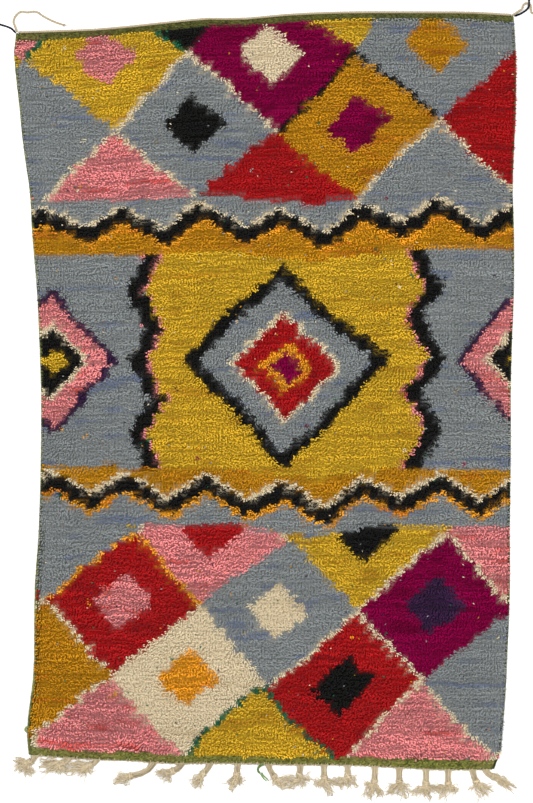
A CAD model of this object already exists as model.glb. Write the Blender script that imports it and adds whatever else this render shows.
"""Hand-knotted wool pile rug with flat-woven ends and a knotted warp fringe.

The rug lies in the XY plane, +Y towards its heading cord and +X to the right
seen from above. Sizes are metres unless a name says otherwise.
"""

import logging
import math
from collections.abc import Callable
from dataclasses import dataclass, field, replace
from enum import Enum
from typing import NamedTuple

import bmesh
import bpy
import numpy as np
from mathutils import Matrix, Vector


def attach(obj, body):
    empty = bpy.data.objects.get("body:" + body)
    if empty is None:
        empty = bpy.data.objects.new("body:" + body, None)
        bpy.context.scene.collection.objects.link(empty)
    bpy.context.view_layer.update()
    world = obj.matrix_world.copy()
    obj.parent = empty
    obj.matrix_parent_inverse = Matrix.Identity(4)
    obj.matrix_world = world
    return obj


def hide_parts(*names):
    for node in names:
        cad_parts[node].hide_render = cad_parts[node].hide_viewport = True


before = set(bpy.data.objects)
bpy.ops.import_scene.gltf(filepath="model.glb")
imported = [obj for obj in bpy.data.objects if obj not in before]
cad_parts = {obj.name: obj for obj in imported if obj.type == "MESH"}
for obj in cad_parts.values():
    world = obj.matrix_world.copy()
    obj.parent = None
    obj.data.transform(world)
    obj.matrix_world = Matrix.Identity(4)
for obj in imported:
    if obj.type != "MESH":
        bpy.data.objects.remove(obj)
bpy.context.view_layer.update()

log = logging.getLogger("rug")

Array = np.ndarray
Colour = tuple[float, float, float]
Span = tuple[float, float]

BODY = "root"

# The photograph's height in pixels, and what one pixel covers on the pile.
FRAME_HEIGHT = 803
METRES_PER_PIXEL = 0.0032

# Heights that every part of the rug shares.
FLOOR_CLEARANCE = 0.0003
ON_FLOOR = 0.0001
PILE_HEIGHT = 0.016

# How far the cloth's top end lies inside the rug's visible outline.
CLOTH_TOP_INSET = 0.0055

# The baking map. The side faces of a form fill the lower part of its cell, and
# its two end faces share the strip above them.
BAKE_MAP = "OFBake"
SIDE_FOOT, SIDE_RISE, SIDE_HALF = 0.02, 0.78, 0.46
END_MIDDLE, END_SPAN = (0.5, 0.9), (0.7, 0.12)
END_FLOOR, END_START, END_GAIN = 0.8, 0.801, 4
LEVEL_NORMAL = 0.8
TUBE_FOLDS = 12
FOLD_SIDE, FOLD_WIDTH, FOLD_FOOT, FOLD_RISE, FOLD_OVERRUN = 0.05, 0.9, 0.02, 0.94, 1.05

# Distances below which points count as one.
TINY = 1e-6
WELD = 1e-5

# Most values of a noise texture fall in this range.
NOISE_LOW, NOISE_HIGH = 0.3, 0.7


class EndBand(NamedTuple):
    """Height of the flat-woven green bands at one place across the rug."""

    x: float
    top: float
    bottom: float


class BareSide(NamedTuple):
    """Width of selvedge that shows beside the pile at one height of the rug."""

    y: float
    left: float
    right: float


END_BANDS = (
    EndBand(-0.820, 0.030, 0.021),
    EndBand(-0.580, 0.022, 0.022),
    EndBand(-0.450, 0.020, 0.027),
    EndBand(-0.330, 0.022, 0.024),
    EndBand(-0.200, 0.023, 0.020),
    EndBand(0.060, 0.024, 0.020),
    EndBand(0.250, 0.024, 0.023),
    EndBand(0.500, 0.024, 0.028),
    EndBand(0.784, 0.026, 0.025),
)
BARE_SIDES = (
    BareSide(-1.222, 0.0080, -0.004),
    BareSide(-1.150, 0.0068, -0.004),
    BareSide(-1.116, 0.0055, -0.003),
    BareSide(-1.104, 0.0000, -0.003),
    BareSide(-1.088, 0.0000, -0.003),
    BareSide(-1.072, 0.0044, -0.002),
    BareSide(-0.992, 0.0036, -0.001),
    BareSide(-0.896, 0.0000, 0.000),
    BareSide(-0.640, 0.0010, 0.000),
    BareSide(-0.448, 0.0000, 0.000),
    BareSide(0.640, 0.0000, 0.000),
    BareSide(0.896, 0.0000, -0.002),
    BareSide(1.088, 0.0000, -0.002),
    BareSide(1.210, 0.0040, -0.001),
)


class Wool(Enum):
    """The dyed wools of the pile, in the order of their codes in the chart."""

    MUSTARD = 0
    OCHRE = 1
    GREY_BLUE = 2
    PINK = 3
    CRIMSON = 4
    BLACK = 5
    IVORY = 6
    PLUM = 7
    ORANGE = 8
    AUBERGINE = 9
    GREEN = 10


class Slot(Enum):
    """The record's material slots."""

    PILE = "pile_wool"
    GREEN = "green_wool"
    IVORY = "ivory_yarn"
    DARK = "dark_yarn"


def linear(red: int, green: int, blue: int) -> Colour:
    """Turn a colour as seen on a screen into a linear one.

    Args:
        red: Red from 0 to 255.
        green: Green from 0 to 255.
        blue: Blue from 0 to 255.

    Returns:
        The linear red, green and blue from 0 to 1.
    """
    shares = (red / 255, green / 255, blue / 255)
    return tuple(s / 12.92 if s <= 0.04045 else ((s + 0.055) / 1.055) ** 2.4 for s in shares)


def lerp(first: Array, second: Array, share: Array) -> Array:
    """Mix two arrays by a share from 0 to 1."""
    return first + (second - first) * share


# Materials


class NodeDesk:
    """A new material's node tree, with short calls to add and join its nodes."""

    def __init__(self, name: str) -> None:
        """Start a material that holds a Principled shader alone.

        Args:
            name: The material's name.
        """
        self.material = bpy.data.materials.new(name)
        self.material.use_nodes = True
        self.tree = self.material.node_tree
        self.shader = self.tree.nodes["Principled BSDF"]

    def add(self, kind: str, inputs: dict | None = None, **settings: object) -> bpy.types.Node:
        """Add a node.

        Args:
            kind: The node's type without its ShaderNode prefix.
            inputs: Values of input sockets, or output sockets to join them to.
            **settings: Properties of the node.

        Returns:
            The new node.
        """
        node = self.tree.nodes.new("ShaderNode" + kind)
        for key, value in settings.items():
            setattr(node, key, value)
        for key, value in (inputs or {}).items():
            self.feed(node, key, value)
        return node

    def feed(self, node: bpy.types.Node, key: str | int, value: object) -> None:
        """Set an input socket, or join it where the value is a socket.

        Args:
            node: The node.
            key: The input's name or number.
            value: A constant, or the output socket of another node.
        """
        if isinstance(value, bpy.types.NodeSocket):
            self.tree.links.new(value, node.inputs[key])
        else:
            node.inputs[key].default_value = value

    def math(self, operation: str, first: object, second: object) -> bpy.types.NodeSocket:
        """Add a Math node and return its result."""
        return self.add("Math", {0: first, 1: second}, operation=operation).outputs[0]

    def spread(self, value: bpy.types.NodeSocket, low: float, high: float, start: float = 0.0,
               stop: float = 1.0) -> bpy.types.NodeSocket:
        """Map a value that runs from start to stop onto the range from low to high."""
        ranges = {"Value": value, "From Min": start, "From Max": stop, "To Min": low, "To Max": high}
        return self.add("MapRange", ranges).outputs["Result"]

    def attribute(self, name: str) -> bpy.types.NodeSocket:
        """Read a number that the mesh carries at its points."""
        return self.add("Attribute", attribute_name=name).outputs["Fac"]

    def blend(self, factor: object, first: object, second: object,
              mode: str = "MIX") -> bpy.types.NodeSocket:
        """Mix two colours.

        Args:
            factor: The share of the second colour.
            first: The first colour, or a socket that gives it.
            second: The second colour, or a socket that gives it.
            mode: How they mix.

        Returns:
            The mixed colour's socket.
        """
        node = self.add("Mix", data_type="RGBA", blend_type=mode)
        for index, value in ((0, factor), (6, first), (7, second)):
            self.feed(node, index, value)
        return node.outputs[2]


@dataclass(frozen=True)
class YarnFinish:
    """Matt wool yarn with dye streaks, darker roots and a grain of fibres.

    The mesh carries tone, streak and root, each from 0 to 1.
    """

    name: str
    colour: Colour
    streak: Colour
    tones: Span = (0.74, 1.20)
    root_shade: float = 0.68
    grain_size: float = 0.0016
    grain: Span = (0.84, 1.14)
    grain_height: float = 0.0005
    grain_detail: float = 2.0
    relief_strength: float = 0.7
    sheen: float = 0.05
    sheen_roughness: float = 0.6
    specular: float = 0.08
    roughness: Span = (0.82, 0.97)

    def material(self) -> bpy.types.Material:
        """Build the material.

        Returns:
            The material.
        """
        desk = NodeDesk(self.name)
        place = desk.add("TexCoord").outputs["Object"]
        size = {"Vector": place, "Scale": 1 / self.grain_size, "Detail": self.grain_detail}
        grain = desk.add("TexNoise", size).outputs["Fac"]
        dye = desk.blend(desk.attribute("streak"), (*self.colour, 1.0), (*self.streak, 1.0))
        gain = desk.math(
            "MULTIPLY",
            desk.spread(desk.attribute("tone"), *self.tones),
            desk.spread(desk.attribute("root"), self.root_shade, 1.0),
        )
        fleck = desk.spread(grain, *self.grain, NOISE_LOW, NOISE_HIGH)
        gain = desk.math("MULTIPLY", gain, fleck)
        desk.feed(desk.shader, "Base Color", desk.blend(1.0, dye, gain, "MULTIPLY"))
        desk.feed(desk.shader, "Roughness", desk.spread(grain, *self.roughness))
        bump = {"Height": grain, "Distance": self.grain_height, "Strength": self.relief_strength}
        relief = desk.add("Bump", bump)
        desk.feed(desk.shader, "Normal", relief.outputs["Normal"])
        desk.shader.inputs["Sheen Weight"].default_value = self.sheen
        desk.shader.inputs["Sheen Roughness"].default_value = self.sheen_roughness
        desk.shader.inputs["Specular IOR Level"].default_value = self.specular
        return desk.material


@dataclass(frozen=True)
class ClothFinish:
    """The knotted ground seen between the locks and from below."""

    name: str = "knotted_ground"
    knot_pitch: float = 0.0098
    row_pitch: float = 0.0128
    knot_randomness: float = 0.3
    knot_reach: float = 0.7
    crest_shade: float = 0.85
    gap_shade: float = 0.374
    fibre_scale: float = 620.0
    fibre_detail: float = 2.0
    fibres: Span = (0.85, 1.15)
    fibre_height: float = 0.25
    relief: float = 0.0009
    relief_strength: float = 0.8
    roughness: Span = (0.85, 0.98)
    specular: float = 0.1

    def material(self) -> bpy.types.Material:
        """Build the material, which reads the wool colours from the mesh.

        Returns:
            The material.
        """
        desk = NodeDesk(self.name)
        place = desk.add("TexCoord").outputs["Object"]
        dye = desk.add("Attribute", attribute_name="dye").outputs["Color"]
        scale = (1 / self.knot_pitch, 1 / self.row_pitch, 1.0)
        mapped = desk.add("Mapping", {"Vector": place, "Scale": scale}).outputs["Vector"]
        knots = desk.add("TexVoronoi", {"Vector": mapped, "Scale": 1.0, "Randomness": self.knot_randomness},
                         voronoi_dimensions="2D").outputs["Distance"]
        size = {"Vector": place, "Scale": self.fibre_scale, "Detail": self.fibre_detail}
        fibres = desk.add("TexNoise", size).outputs["Fac"]
        gain = desk.math(
            "MULTIPLY",
            desk.spread(knots, self.crest_shade, self.gap_shade, 0.0, self.knot_reach),
            desk.spread(fibres, *self.fibres, NOISE_LOW, NOISE_HIGH),
        )
        desk.feed(desk.shader, "Base Color", desk.blend(1.0, dye, gain, "MULTIPLY"))
        desk.feed(desk.shader, "Roughness", desk.spread(fibres, *self.roughness))
        hollows = desk.math("MULTIPLY", knots, -1.0)
        height = desk.math("ADD", hollows, desk.math("MULTIPLY", fibres, self.fibre_height))
        bump = {"Height": height, "Distance": self.relief, "Strength": self.relief_strength}
        relief = desk.add("Bump", bump)
        desk.feed(desk.shader, "Normal", relief.outputs["Normal"])
        desk.shader.inputs["Specular IOR Level"].default_value = self.specular
        return desk.material


@dataclass(frozen=True)
class FloorFinish:
    """A plain pale studio floor."""

    colour: Colour = (0.92, 0.92, 0.92)
    mottle_scale: float = 3.0
    roughness: Span = (0.86, 0.92)
    specular: float = 0.1

    def material(self) -> bpy.types.Material:
        """Build the material, with a faint mottle like matt paper.

        Returns:
            The material.
        """
        desk = NodeDesk("pale_floor")
        place = desk.add("TexCoord").outputs["Object"]
        mottle = desk.add("TexNoise", {"Vector": place, "Scale": self.mottle_scale}).outputs["Fac"]
        desk.feed(desk.shader, "Roughness", desk.spread(mottle, *self.roughness))
        desk.shader.inputs["Base Color"].default_value = (*self.colour, 1.0)
        desk.shader.inputs["Specular IOR Level"].default_value = self.specular
        return desk.material


PILE_WOOL = YarnFinish("pile_wool", linear(128, 128, 128), linear(96, 96, 96), (0.58, 1.38), 0.62)
SOFT_WOOL = replace(PILE_WOOL, tones=(0.60, 1.32), root_shade=0.80)
CLEAR_WOOL = replace(SOFT_WOOL, sheen=0.0)
ROSE_WOOL = replace(PILE_WOOL, tones=(0.52, 1.42), root_shade=0.48)
GOLD_WOOL = replace(PILE_WOOL, tones=(0.62, 1.30), root_shade=0.62)
PALE_WOOL = replace(PILE_WOOL, tones=(0.76, 1.18), root_shade=0.86)
CREAM_WOOL = replace(PILE_WOOL, tones=(0.94, 1.06), root_shade=0.98, grain=(0.92, 1.07),
                     grain_height=0.0003)


def dyed(wool: YarnFinish, name: str, colour: Colour, streak: Colour) -> YarnFinish:
    """Return a wool in another dye."""
    return replace(wool, name=name, colour=colour, streak=streak)


WOOL_FINISHES = {
    Wool.MUSTARD: dyed(GOLD_WOOL, "mustard_wool", linear(232, 189, 44), linear(202, 150, 30)),
    Wool.OCHRE: dyed(GOLD_WOOL, "ochre_wool", linear(214, 152, 16), linear(206, 124, 14)),
    Wool.GREY_BLUE: dyed(PALE_WOOL, "grey_blue_wool", linear(149, 154, 153), linear(114, 126, 153)),
    Wool.PINK: dyed(ROSE_WOOL, "pink_wool", linear(252, 156, 156), linear(228, 94, 86)),
    Wool.CRIMSON: dyed(SOFT_WOOL, "crimson_wool", linear(186, 16, 20), linear(146, 10, 20)),
    Wool.BLACK: dyed(SOFT_WOOL, "black_wool", linear(16, 15, 13), linear(12, 12, 15)),
    Wool.IVORY: dyed(CREAM_WOOL, "ivory_wool", linear(229, 213, 180), linear(214, 194, 156)),
    Wool.PLUM: dyed(CLEAR_WOOL, "plum_wool", linear(146, 0, 70), linear(112, 0, 50)),
    Wool.ORANGE: dyed(PILE_WOOL, "orange_wool", linear(252, 174, 34), linear(236, 138, 30)),
    Wool.AUBERGINE: dyed(SOFT_WOOL, "aubergine_wool", linear(60, 30, 70), linear(40, 20, 48)),
    Wool.GREEN: dyed(SOFT_WOOL, "emerald_wool", linear(30, 112, 76), linear(16, 66, 56)),
}
OLIVE_YARN = YarnFinish("olive_yarn", linear(124, 126, 60), linear(56, 62, 22), (0.45, 1.40), 0.7)
DARK_OLIVE_YARN = dyed(OLIVE_YARN, "dark_olive_yarn", linear(96, 98, 46), linear(38, 42, 16))
IVORY_YARN = YarnFinish("ivory_warp_yarn", linear(214, 198, 167), linear(180, 162, 126),
                        (0.72, 1.16), 0.74)
CORD_YARN = dyed(IVORY_YARN, "ivory_cord_yarn", linear(184, 169, 140), linear(158, 141, 112))
LOOSE_GREEN_YARN = dyed(OLIVE_YARN, "loose_green_yarn", linear(104, 136, 66), linear(58, 92, 40))
NAVY_YARN = YarnFinish("blue_black_yarn", linear(11, 12, 30), linear(8, 8, 16), root_shade=0.8,
                       sheen=0.0)
LOOP_YARN = dyed(OLIVE_YARN, "loop_yarn", linear(150, 156, 98), linear(100, 108, 56))
SIDE_OLIVE_YARN = dyed(OLIVE_YARN, "side_olive_yarn", linear(116, 118, 60), linear(50, 56, 22))


# Small forms that are copied many times


class Form(NamedTuple):
    """A small closed form made by mesh operators, ready to be copied.

    points holds its vertices, corners the vertex of each face corner, starts
    the first corner of each face, and cells the place of each corner in a
    square of the baking map.
    """

    points: Array
    corners: Array
    starts: Array
    cells: Array


def form_of(bm: bmesh.types.BMesh, cells: Array) -> Form:
    """Read a finished bmesh into a form and free it.

    Args:
        bm: The bmesh.
        cells: The place of each face corner in a unit square.

    Returns:
        The form.
    """
    bm.verts.index_update()
    points = np.array([vert.co for vert in bm.verts])
    corners = np.array([vert.index for face in bm.faces for vert in face.verts])
    sizes = np.array([len(face.verts) for face in bm.faces])
    bm.free()
    return Form(points, corners, np.cumsum(sizes) - sizes, cells)


def wrapped_cells(bm: bmesh.types.BMesh, sides: int) -> Array:
    """Lay a standing form's faces out in a unit square, side by side.

    Args:
        bm: A form about the Z axis, from z 0 to z 1.
        sides: The number of faces around it.

    Returns:
        The place of each face corner. The end faces share the top strip.
    """
    cells = []
    turn = 2 * math.pi / sides
    for face in bm.faces:
        middle = face.calc_center_median()
        level = abs(face.normal.z) > LEVEL_NORMAL
        facing = math.atan2(middle.y, middle.x)
        column = round(facing / turn - 0.5) % sides
        for vert in face.verts:
            if level:
                cells.append(tuple(END_MIDDLE[k] + END_SPAN[k] * vert.co[k] for k in range(2)))
                continue
            away = math.hypot(vert.co.x, vert.co.y)
            swing = math.atan2(vert.co.y, vert.co.x) - facing
            swing = math.atan2(math.sin(swing), math.cos(swing))
            shift = 0.0 if away < TINY else math.copysign(SIDE_HALF, swing)
            cells.append(((column + 0.5 + shift) / sides, SIDE_FOOT + SIDE_RISE * vert.co.z))
    return np.array(cells)


def lock_form(sides: int, bend: float) -> Form:
    """Make one lock of wool, pointed at its root and tip and widest where it bends.

    Args:
        sides: The number of its sides.
        bend: Where it is widest, as a share of its length.

    Returns:
        The form, one unit long and one unit wide.
    """
    bm = bmesh.new()
    for low, high, start, stop in ((0.0, 0.5, 0.0, bend), (0.5, 0.0, bend, 1.0)):
        middle = Matrix.Translation((0.0, 0.0, (start + stop) / 2))
        bmesh.ops.create_cone(bm, segments=sides, radius1=low, radius2=high, depth=stop - start,
                              matrix=middle)
    bmesh.ops.remove_doubles(bm, verts=bm.verts, dist=WELD)
    bmesh.ops.recalc_face_normals(bm, faces=bm.faces)
    return form_of(bm, wrapped_cells(bm, sides))


class UnitTube:
    """A closed tube form whose stations and corners are known by number."""

    SEAM_SHARE = 0.2
    SHORTEST = 1e-9

    def __init__(self, stations: int, sides: int) -> None:
        """Roll a grid into a tube and close its seam and its ends.

        Args:
            stations: The number of rings along the tube.
            sides: The number of faces around it.
        """
        bm = bmesh.new()
        bmesh.ops.create_grid(bm, x_segments=sides, y_segments=stations - 1, size=0.5)
        for vert in bm.verts:
            angle = (vert.co.x + 0.5) * 2 * math.pi
            vert.co = (math.cos(angle) * 0.5, math.sin(angle) * 0.5, vert.co.y + 0.5)
        bmesh.ops.remove_doubles(bm, verts=bm.verts, dist=self.SEAM_SHARE / stations)
        rims = [edge for edge in bm.edges if edge.is_boundary]
        bmesh.ops.holes_fill(bm, edges=rims, sides=sides)
        bmesh.ops.recalc_face_normals(bm, faces=bm.faces)
        self.form = form_of(bm, wrapped_cells(bm, sides))
        points = self.form.points
        self.station = np.rint(points[:, 2] * (stations - 1)).astype(int)
        self.angle = np.arctan2(points[:, 1], points[:, 0])

    def along(self, paths: Array, radius: Callable[[Array, Array], Array]) -> Array:
        """Sweep the tube along several paths.

        Args:
            paths: The middle lines, as paths by stations by 3.
            radius: Gives the radius at each station and angle of each path.

        Returns:
            The points, as paths by points by 3.
        """
        ahead = np.gradient(paths, axis=1)
        ahead /= np.maximum(np.linalg.norm(ahead, axis=2, keepdims=True), self.SHORTEST)
        across = np.cross(ahead, np.array([0.0, 0.0, 1.0]))
        across /= np.maximum(np.linalg.norm(across, axis=2, keepdims=True), self.SHORTEST)
        upward = np.cross(across, ahead)
        reach = radius(self.station[None, :], self.angle[None, :])[..., None]
        swing = np.cos(self.angle)[None, :, None] * across[:, self.station]
        rise = np.sin(self.angle)[None, :, None] * upward[:, self.station]
        return paths[:, self.station] + (swing + rise) * reach


class Copies:
    """Copies of small forms, gathered into one mesh with one map cell each."""

    CELL_MARGIN = 0.04

    def __init__(self) -> None:
        """Start with no copies."""
        self.batches: list[tuple[Form, Array, dict[str, Array]]] = []

    def add(self, form: Form, points: Array, **values: Array) -> None:
        """Add one batch of copies.

        Args:
            form: The form that is copied.
            points: The copies' points, as copies by points by 3.
            **values: What the mesh carries, as copies by points.
        """
        self.batches.append((form, points, values))

    def mesh(self, name: str) -> bpy.types.Mesh:
        """Join all the copies.

        Args:
            name: The mesh's name.

        Returns:
            The mesh, shaded smooth, with its numbers and its baking map.
        """
        points, corners, starts, cells = [], [], [], []
        carried: dict[str, list[Array]] = {}
        first_point, first_corner, first_copy = 0, 0, 0
        side = math.ceil(math.sqrt(sum(len(batch[1]) for batch in self.batches)))
        for form, places, values in self.batches:
            count, size = places.shape[:2]
            copy = np.arange(count)[:, None]
            points.append(places.reshape(-1, 3))
            corners.append((form.corners[None] + copy * size).ravel() + first_point)
            starts.append((form.starts[None] + copy * len(form.corners)).ravel() + first_corner)
            number = np.arange(first_copy, first_copy + count)
            origin = np.stack([number % side, number // side], axis=1)[:, None, :]
            inner = self.CELL_MARGIN + form.cells[None] * (1 - 2 * self.CELL_MARGIN)
            cells.append(((origin + inner) / side).reshape(-1, 2))
            for key, value in values.items():
                carried.setdefault(key, []).append(np.broadcast_to(value, (count, size)).ravel())
            first_point += count * size
            first_corner += count * len(form.corners)
            first_copy += count
        mesh = bpy.data.meshes.new(name)
        all_points, all_corners, all_starts = map(np.concatenate, (points, corners, starts))
        mesh.vertices.add(len(all_points))
        mesh.vertices.foreach_set("co", all_points.astype(np.float32).ravel())
        mesh.loops.add(len(all_corners))
        mesh.loops.foreach_set("vertex_index", all_corners.astype(np.int32))
        mesh.polygons.add(len(all_starts))
        mesh.polygons.foreach_set("loop_start", all_starts.astype(np.int32))
        mesh.update(calc_edges=True)
        mesh.validate()
        layer = mesh.uv_layers.new(name=BAKE_MAP)
        layer.data.foreach_set("uv", np.concatenate(cells).astype(np.float32).ravel())
        for key, parts in carried.items():
            carry(mesh, key, np.concatenate(parts))
        mesh.shade_smooth()
        return mesh


def carry(mesh: bpy.types.Mesh, name: str, values: Array) -> None:
    """Give a mesh one number at each of its points.

    Args:
        mesh: The mesh.
        name: The name that its material reads.
        values: One number for each point.
    """
    made = mesh.attributes.new(name, "FLOAT", "POINT")
    made.data.foreach_set("value", np.clip(values, 0.0, 1.0).astype(np.float32))


def place_piece(name: str, mesh: bpy.types.Mesh, material: bpy.types.Material,
                stands_for: tuple[str, ...] = ()) -> bpy.types.Object:
    """Put a finished mesh in the scene as a piece of the rug.

    Args:
        name: The piece's name.
        mesh: Its mesh, in its place.
        material: Its material.
        stands_for: The frame's nodes that it replaces.

    Returns:
        The piece.
    """
    mesh.materials.clear()
    mesh.materials.append(material)
    piece = bpy.data.objects.new(name, mesh)
    bpy.context.scene.collection.objects.link(piece)
    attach(piece, BODY)
    if stands_for:
        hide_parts(*stands_for)
    mesh.calc_loop_triangles()
    log.info("%s: %d triangles", name, len(mesh.loop_triangles))
    return piece


class Noise(NamedTuple):
    """Smooth noise: the rows and columns that one swell covers, and how strong it is."""

    rows: float
    columns: float
    size: float = 1.0


def smooth_noise(rng: np.random.Generator, shape: tuple[int, int], noise: Noise) -> Array:
    """Make smooth noise on a grid of rows and columns.

    Args:
        rng: The random source.
        shape: The number of rows and columns.
        noise: The kind of noise.

    Returns:
        Numbers from -size to size, by row and column.
    """
    coarse = [math.ceil(shape[k] / noise[k]) + 2 for k in range(2)]
    values = rng.uniform(-1.0, 1.0, coarse)
    row = np.arange(shape[0])[:, None] / noise.rows
    column = np.arange(shape[1])[None, :] / noise.columns
    low_row, low_column = row.astype(int), column.astype(int)
    t, s = row - low_row, column - low_column
    t, s = t * t * (3 - 2 * t), s * s * (3 - 2 * s)
    near = lerp(values[low_row, low_column], values[low_row, low_column + 1], s)
    far = lerp(values[low_row + 1, low_column], values[low_row + 1, low_column + 1], s)
    return lerp(near, far, t) * noise.size


# The rug's plan


class RugPlan:
    """The outline of the cloth, read from the frame, and places inside it."""

    FLAT = 1e-4
    ROUNDS = 5

    def __init__(self, node: bpy.types.Object) -> None:
        """Walk round the foot of the cloth and cut its rim into four sides.

        Args:
            node: The frame's node that holds the cloth.
        """
        rim = self.foot_rim(node)
        reach = np.abs(rim).max(axis=0)
        corners = {
            (x, y): int(np.argmax(rim[:, 0] / reach[0] * x + rim[:, 1] / reach[1] * y))
            for x in (-1, 1) for y in (-1, 1)
        }
        self.left_side = self.chain(rim, corners[-1, -1], corners[-1, 1], 1)
        self.right_side = self.chain(rim, corners[1, -1], corners[1, 1], 1)
        self.low_end = self.chain(rim, corners[-1, -1], corners[1, -1], 0)
        self.high_end = self.chain(rim, corners[-1, 1], corners[1, 1], 0)

    def foot_rim(self, node: bpy.types.Object) -> Array:
        """Find the points round the flat foot of the cloth.

        Args:
            node: The frame's node that holds the cloth.

        Returns:
            Their x and y, in order.
        """
        bm = bmesh.new()
        bm.from_mesh(node.data)
        bmesh.ops.remove_doubles(bm, verts=bm.verts, dist=TINY)
        foot = {face for face in bm.faces if max(vert.co.z for vert in face.verts) < self.FLAT}
        links: dict[bmesh.types.BMVert, list[bmesh.types.BMVert]] = {}
        for edge in bm.edges:
            if sum(face in foot for face in edge.link_faces) == 1:
                for vert in edge.verts:
                    links.setdefault(vert, []).append(edge.other_vert(vert))
        start = min(links, key=lambda vert: (vert.co.x, vert.co.y))
        before, here, walked = start, links[start][0], [start]
        while here is not start:
            walked.append(here)
            ahead = next(vert for vert in links[here] if vert is not before)
            before, here = here, ahead
        rim = np.array([(vert.co.x, vert.co.y) for vert in walked])
        bm.free()
        return rim

    def chain(self, rim: Array, first: int, last: int, axis: int) -> Array:
        """Find the shorter way along the rim between two corners.

        Args:
            rim: The points of the rim.
            first: The number of the first corner.
            last: The number of the last corner.
            axis: The axis that the points are sorted along.

        Returns:
            The points of that way.
        """
        onward = np.arange(first, first + (last - first) % len(rim) + 1) % len(rim)
        back = np.arange(last, last + (first - last) % len(rim) + 1) % len(rim)
        both = [rim[way] for way in (onward, back)]
        lengths = [np.linalg.norm(np.diff(way, axis=0), axis=1).sum() for way in both]
        side = both[int(np.argmin(lengths))]
        return side[np.argsort(side[:, axis])]

    def left(self, y: Array) -> Array:
        """Return where the cloth's left side lies."""
        return np.interp(y, self.left_side[:, 1], self.left_side[:, 0])

    def right(self, y: Array) -> Array:
        """Return where the cloth's right side lies."""
        return np.interp(y, self.right_side[:, 1], self.right_side[:, 0])

    def low(self, x: Array) -> Array:
        """Return where the cloth's bottom end lies."""
        return np.interp(x, self.low_end[:, 0], self.low_end[:, 1])

    def high(self, x: Array) -> Array:
        """Return where the cloth's top end lies."""
        return np.interp(x, self.high_end[:, 0], self.high_end[:, 1])

    def low_band(self, x: Array) -> Array:
        """Return the height of the bottom band."""
        return np.interp(x, [row.x for row in END_BANDS], [row.bottom for row in END_BANDS])

    def high_band(self, x: Array) -> Array:
        """Return the height of the top band within the cloth."""
        tops = np.interp(x, [row.x for row in END_BANDS], [row.top for row in END_BANDS])
        return tops - CLOTH_TOP_INSET

    def bare_left(self, y: Array) -> Array:
        """Return how much of the left selvedge shows."""
        return np.interp(y, [row.y for row in BARE_SIDES], [row.left for row in BARE_SIDES])

    def bare_right(self, y: Array) -> Array:
        """Return how much of the right selvedge shows."""
        return np.interp(y, [row.y for row in BARE_SIDES], [row.right for row in BARE_SIDES])

    def place(self, u: Array, v: Array, inset: tuple[float, float, float, float]) -> tuple[Array, Array]:
        """Place points between the four edges of the cloth.

        Args:
            u: Shares of the width, from the left.
            v: Shares of the length, from the bottom.
            inset: How far the left, right, bottom and top edges are moved in.

        Returns:
            The x and the y of the points.
        """
        return self.between(
            u, v,
            lambda y: self.left(y) + inset[0],
            lambda y: self.right(y) - inset[1],
            lambda x: self.low(x) + inset[2],
            lambda x: self.high(x) - inset[3],
        )

    def between(self, u: Array, v: Array, left: Callable, right: Callable, low: Callable,
                high: Callable) -> tuple[Array, Array]:
        """Place points between four edges.

        Args:
            u: Shares of the width, from the left.
            v: Shares of the length, from the bottom.
            left: Gives the left edge's x at a y.
            right: Gives the right edge's x at a y.
            low: Gives the bottom edge's y at an x.
            high: Gives the top edge's y at an x.

        Returns:
            The x and the y of the points.
        """
        u, v = np.broadcast_arrays(np.asarray(u, float), np.asarray(v, float))
        x, y = np.zeros(u.shape), np.zeros(u.shape)
        for _ in range(self.ROUNDS):
            y = low(x) + (high(x) - low(x)) * v
            x = left(y) + (right(y) - left(y)) * u
        return x, y


# The pattern of the field


class Lozenge(NamedTuple):
    """The wools of one lozenge: its ground, its heart and its upper edges."""

    ground: Wool
    heart: Wool | None = None
    edge: Wool | None = None


def lattice(*rows: str) -> tuple[tuple[Lozenge, ...], ...]:
    """Read rows of lozenges, each written as its ground, heart and edge.

    Args:
        *rows: The rows, from the bottom. A dash stands for no heart.

    Returns:
        The lozenges of each row, from the left.
    """
    wools = {wool.name.lower(): wool for wool in Wool} | {"-": None}
    return tuple(tuple(Lozenge(*(wools[name] for name in word.split("/"))) for word in row.split())
                 for row in rows)


class Ring(NamedTuple):
    """One ring of a nested medallion, out to a share of its size."""

    reach: float
    wool: Wool


LOWER_LATTICE = lattice(
    "pink/-/ivory mustard/-/green pink/-/ivory",
    "ochre/-/ivory ivory/orange crimson/black/ivory grey_blue",
    "crimson/pink/orange grey_blue/ivory plum/aubergine/ivory",
    "grey_blue pink/crimson/ivory mustard/black pink",
)
UPPER_LATTICE = lattice(
    "pink/-/ivory crimson grey_blue/-/ivory",
    "grey_blue grey_blue/black/ivory ochre/plum/black crimson",
    "mustard/pink/green plum/ivory grey_blue/ochre",
    "pink black mustard grey_blue",
)
MIDDLE_MEDALLION = (
    Ring(0.16, Wool.PLUM),
    Ring(0.26, Wool.ORANGE),
    Ring(0.50, Wool.CRIMSON),
    Ring(0.56, Wool.IVORY),
    Ring(0.84, Wool.GREY_BLUE),
    Ring(1.00, Wool.BLACK),
)
SIDE_MEDALLION = (
    Ring(0.20, Wool.MUSTARD),
    Ring(0.46, Wool.BLACK),
    Ring(0.54, Wool.IVORY),
    Ring(0.88, Wool.PINK),
    Ring(1.00, Wool.AUBERGINE),
)


@dataclass
class Register:
    """Knots of the chart that are painted together, by column and by row."""

    chart: Array
    where: Array
    x: Array
    y: Array

    def paint(self, cells: Array, wool: Wool) -> None:
        """Tie some of the knots in one wool."""
        self.chart[self.where & cells] = wool.value


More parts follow.
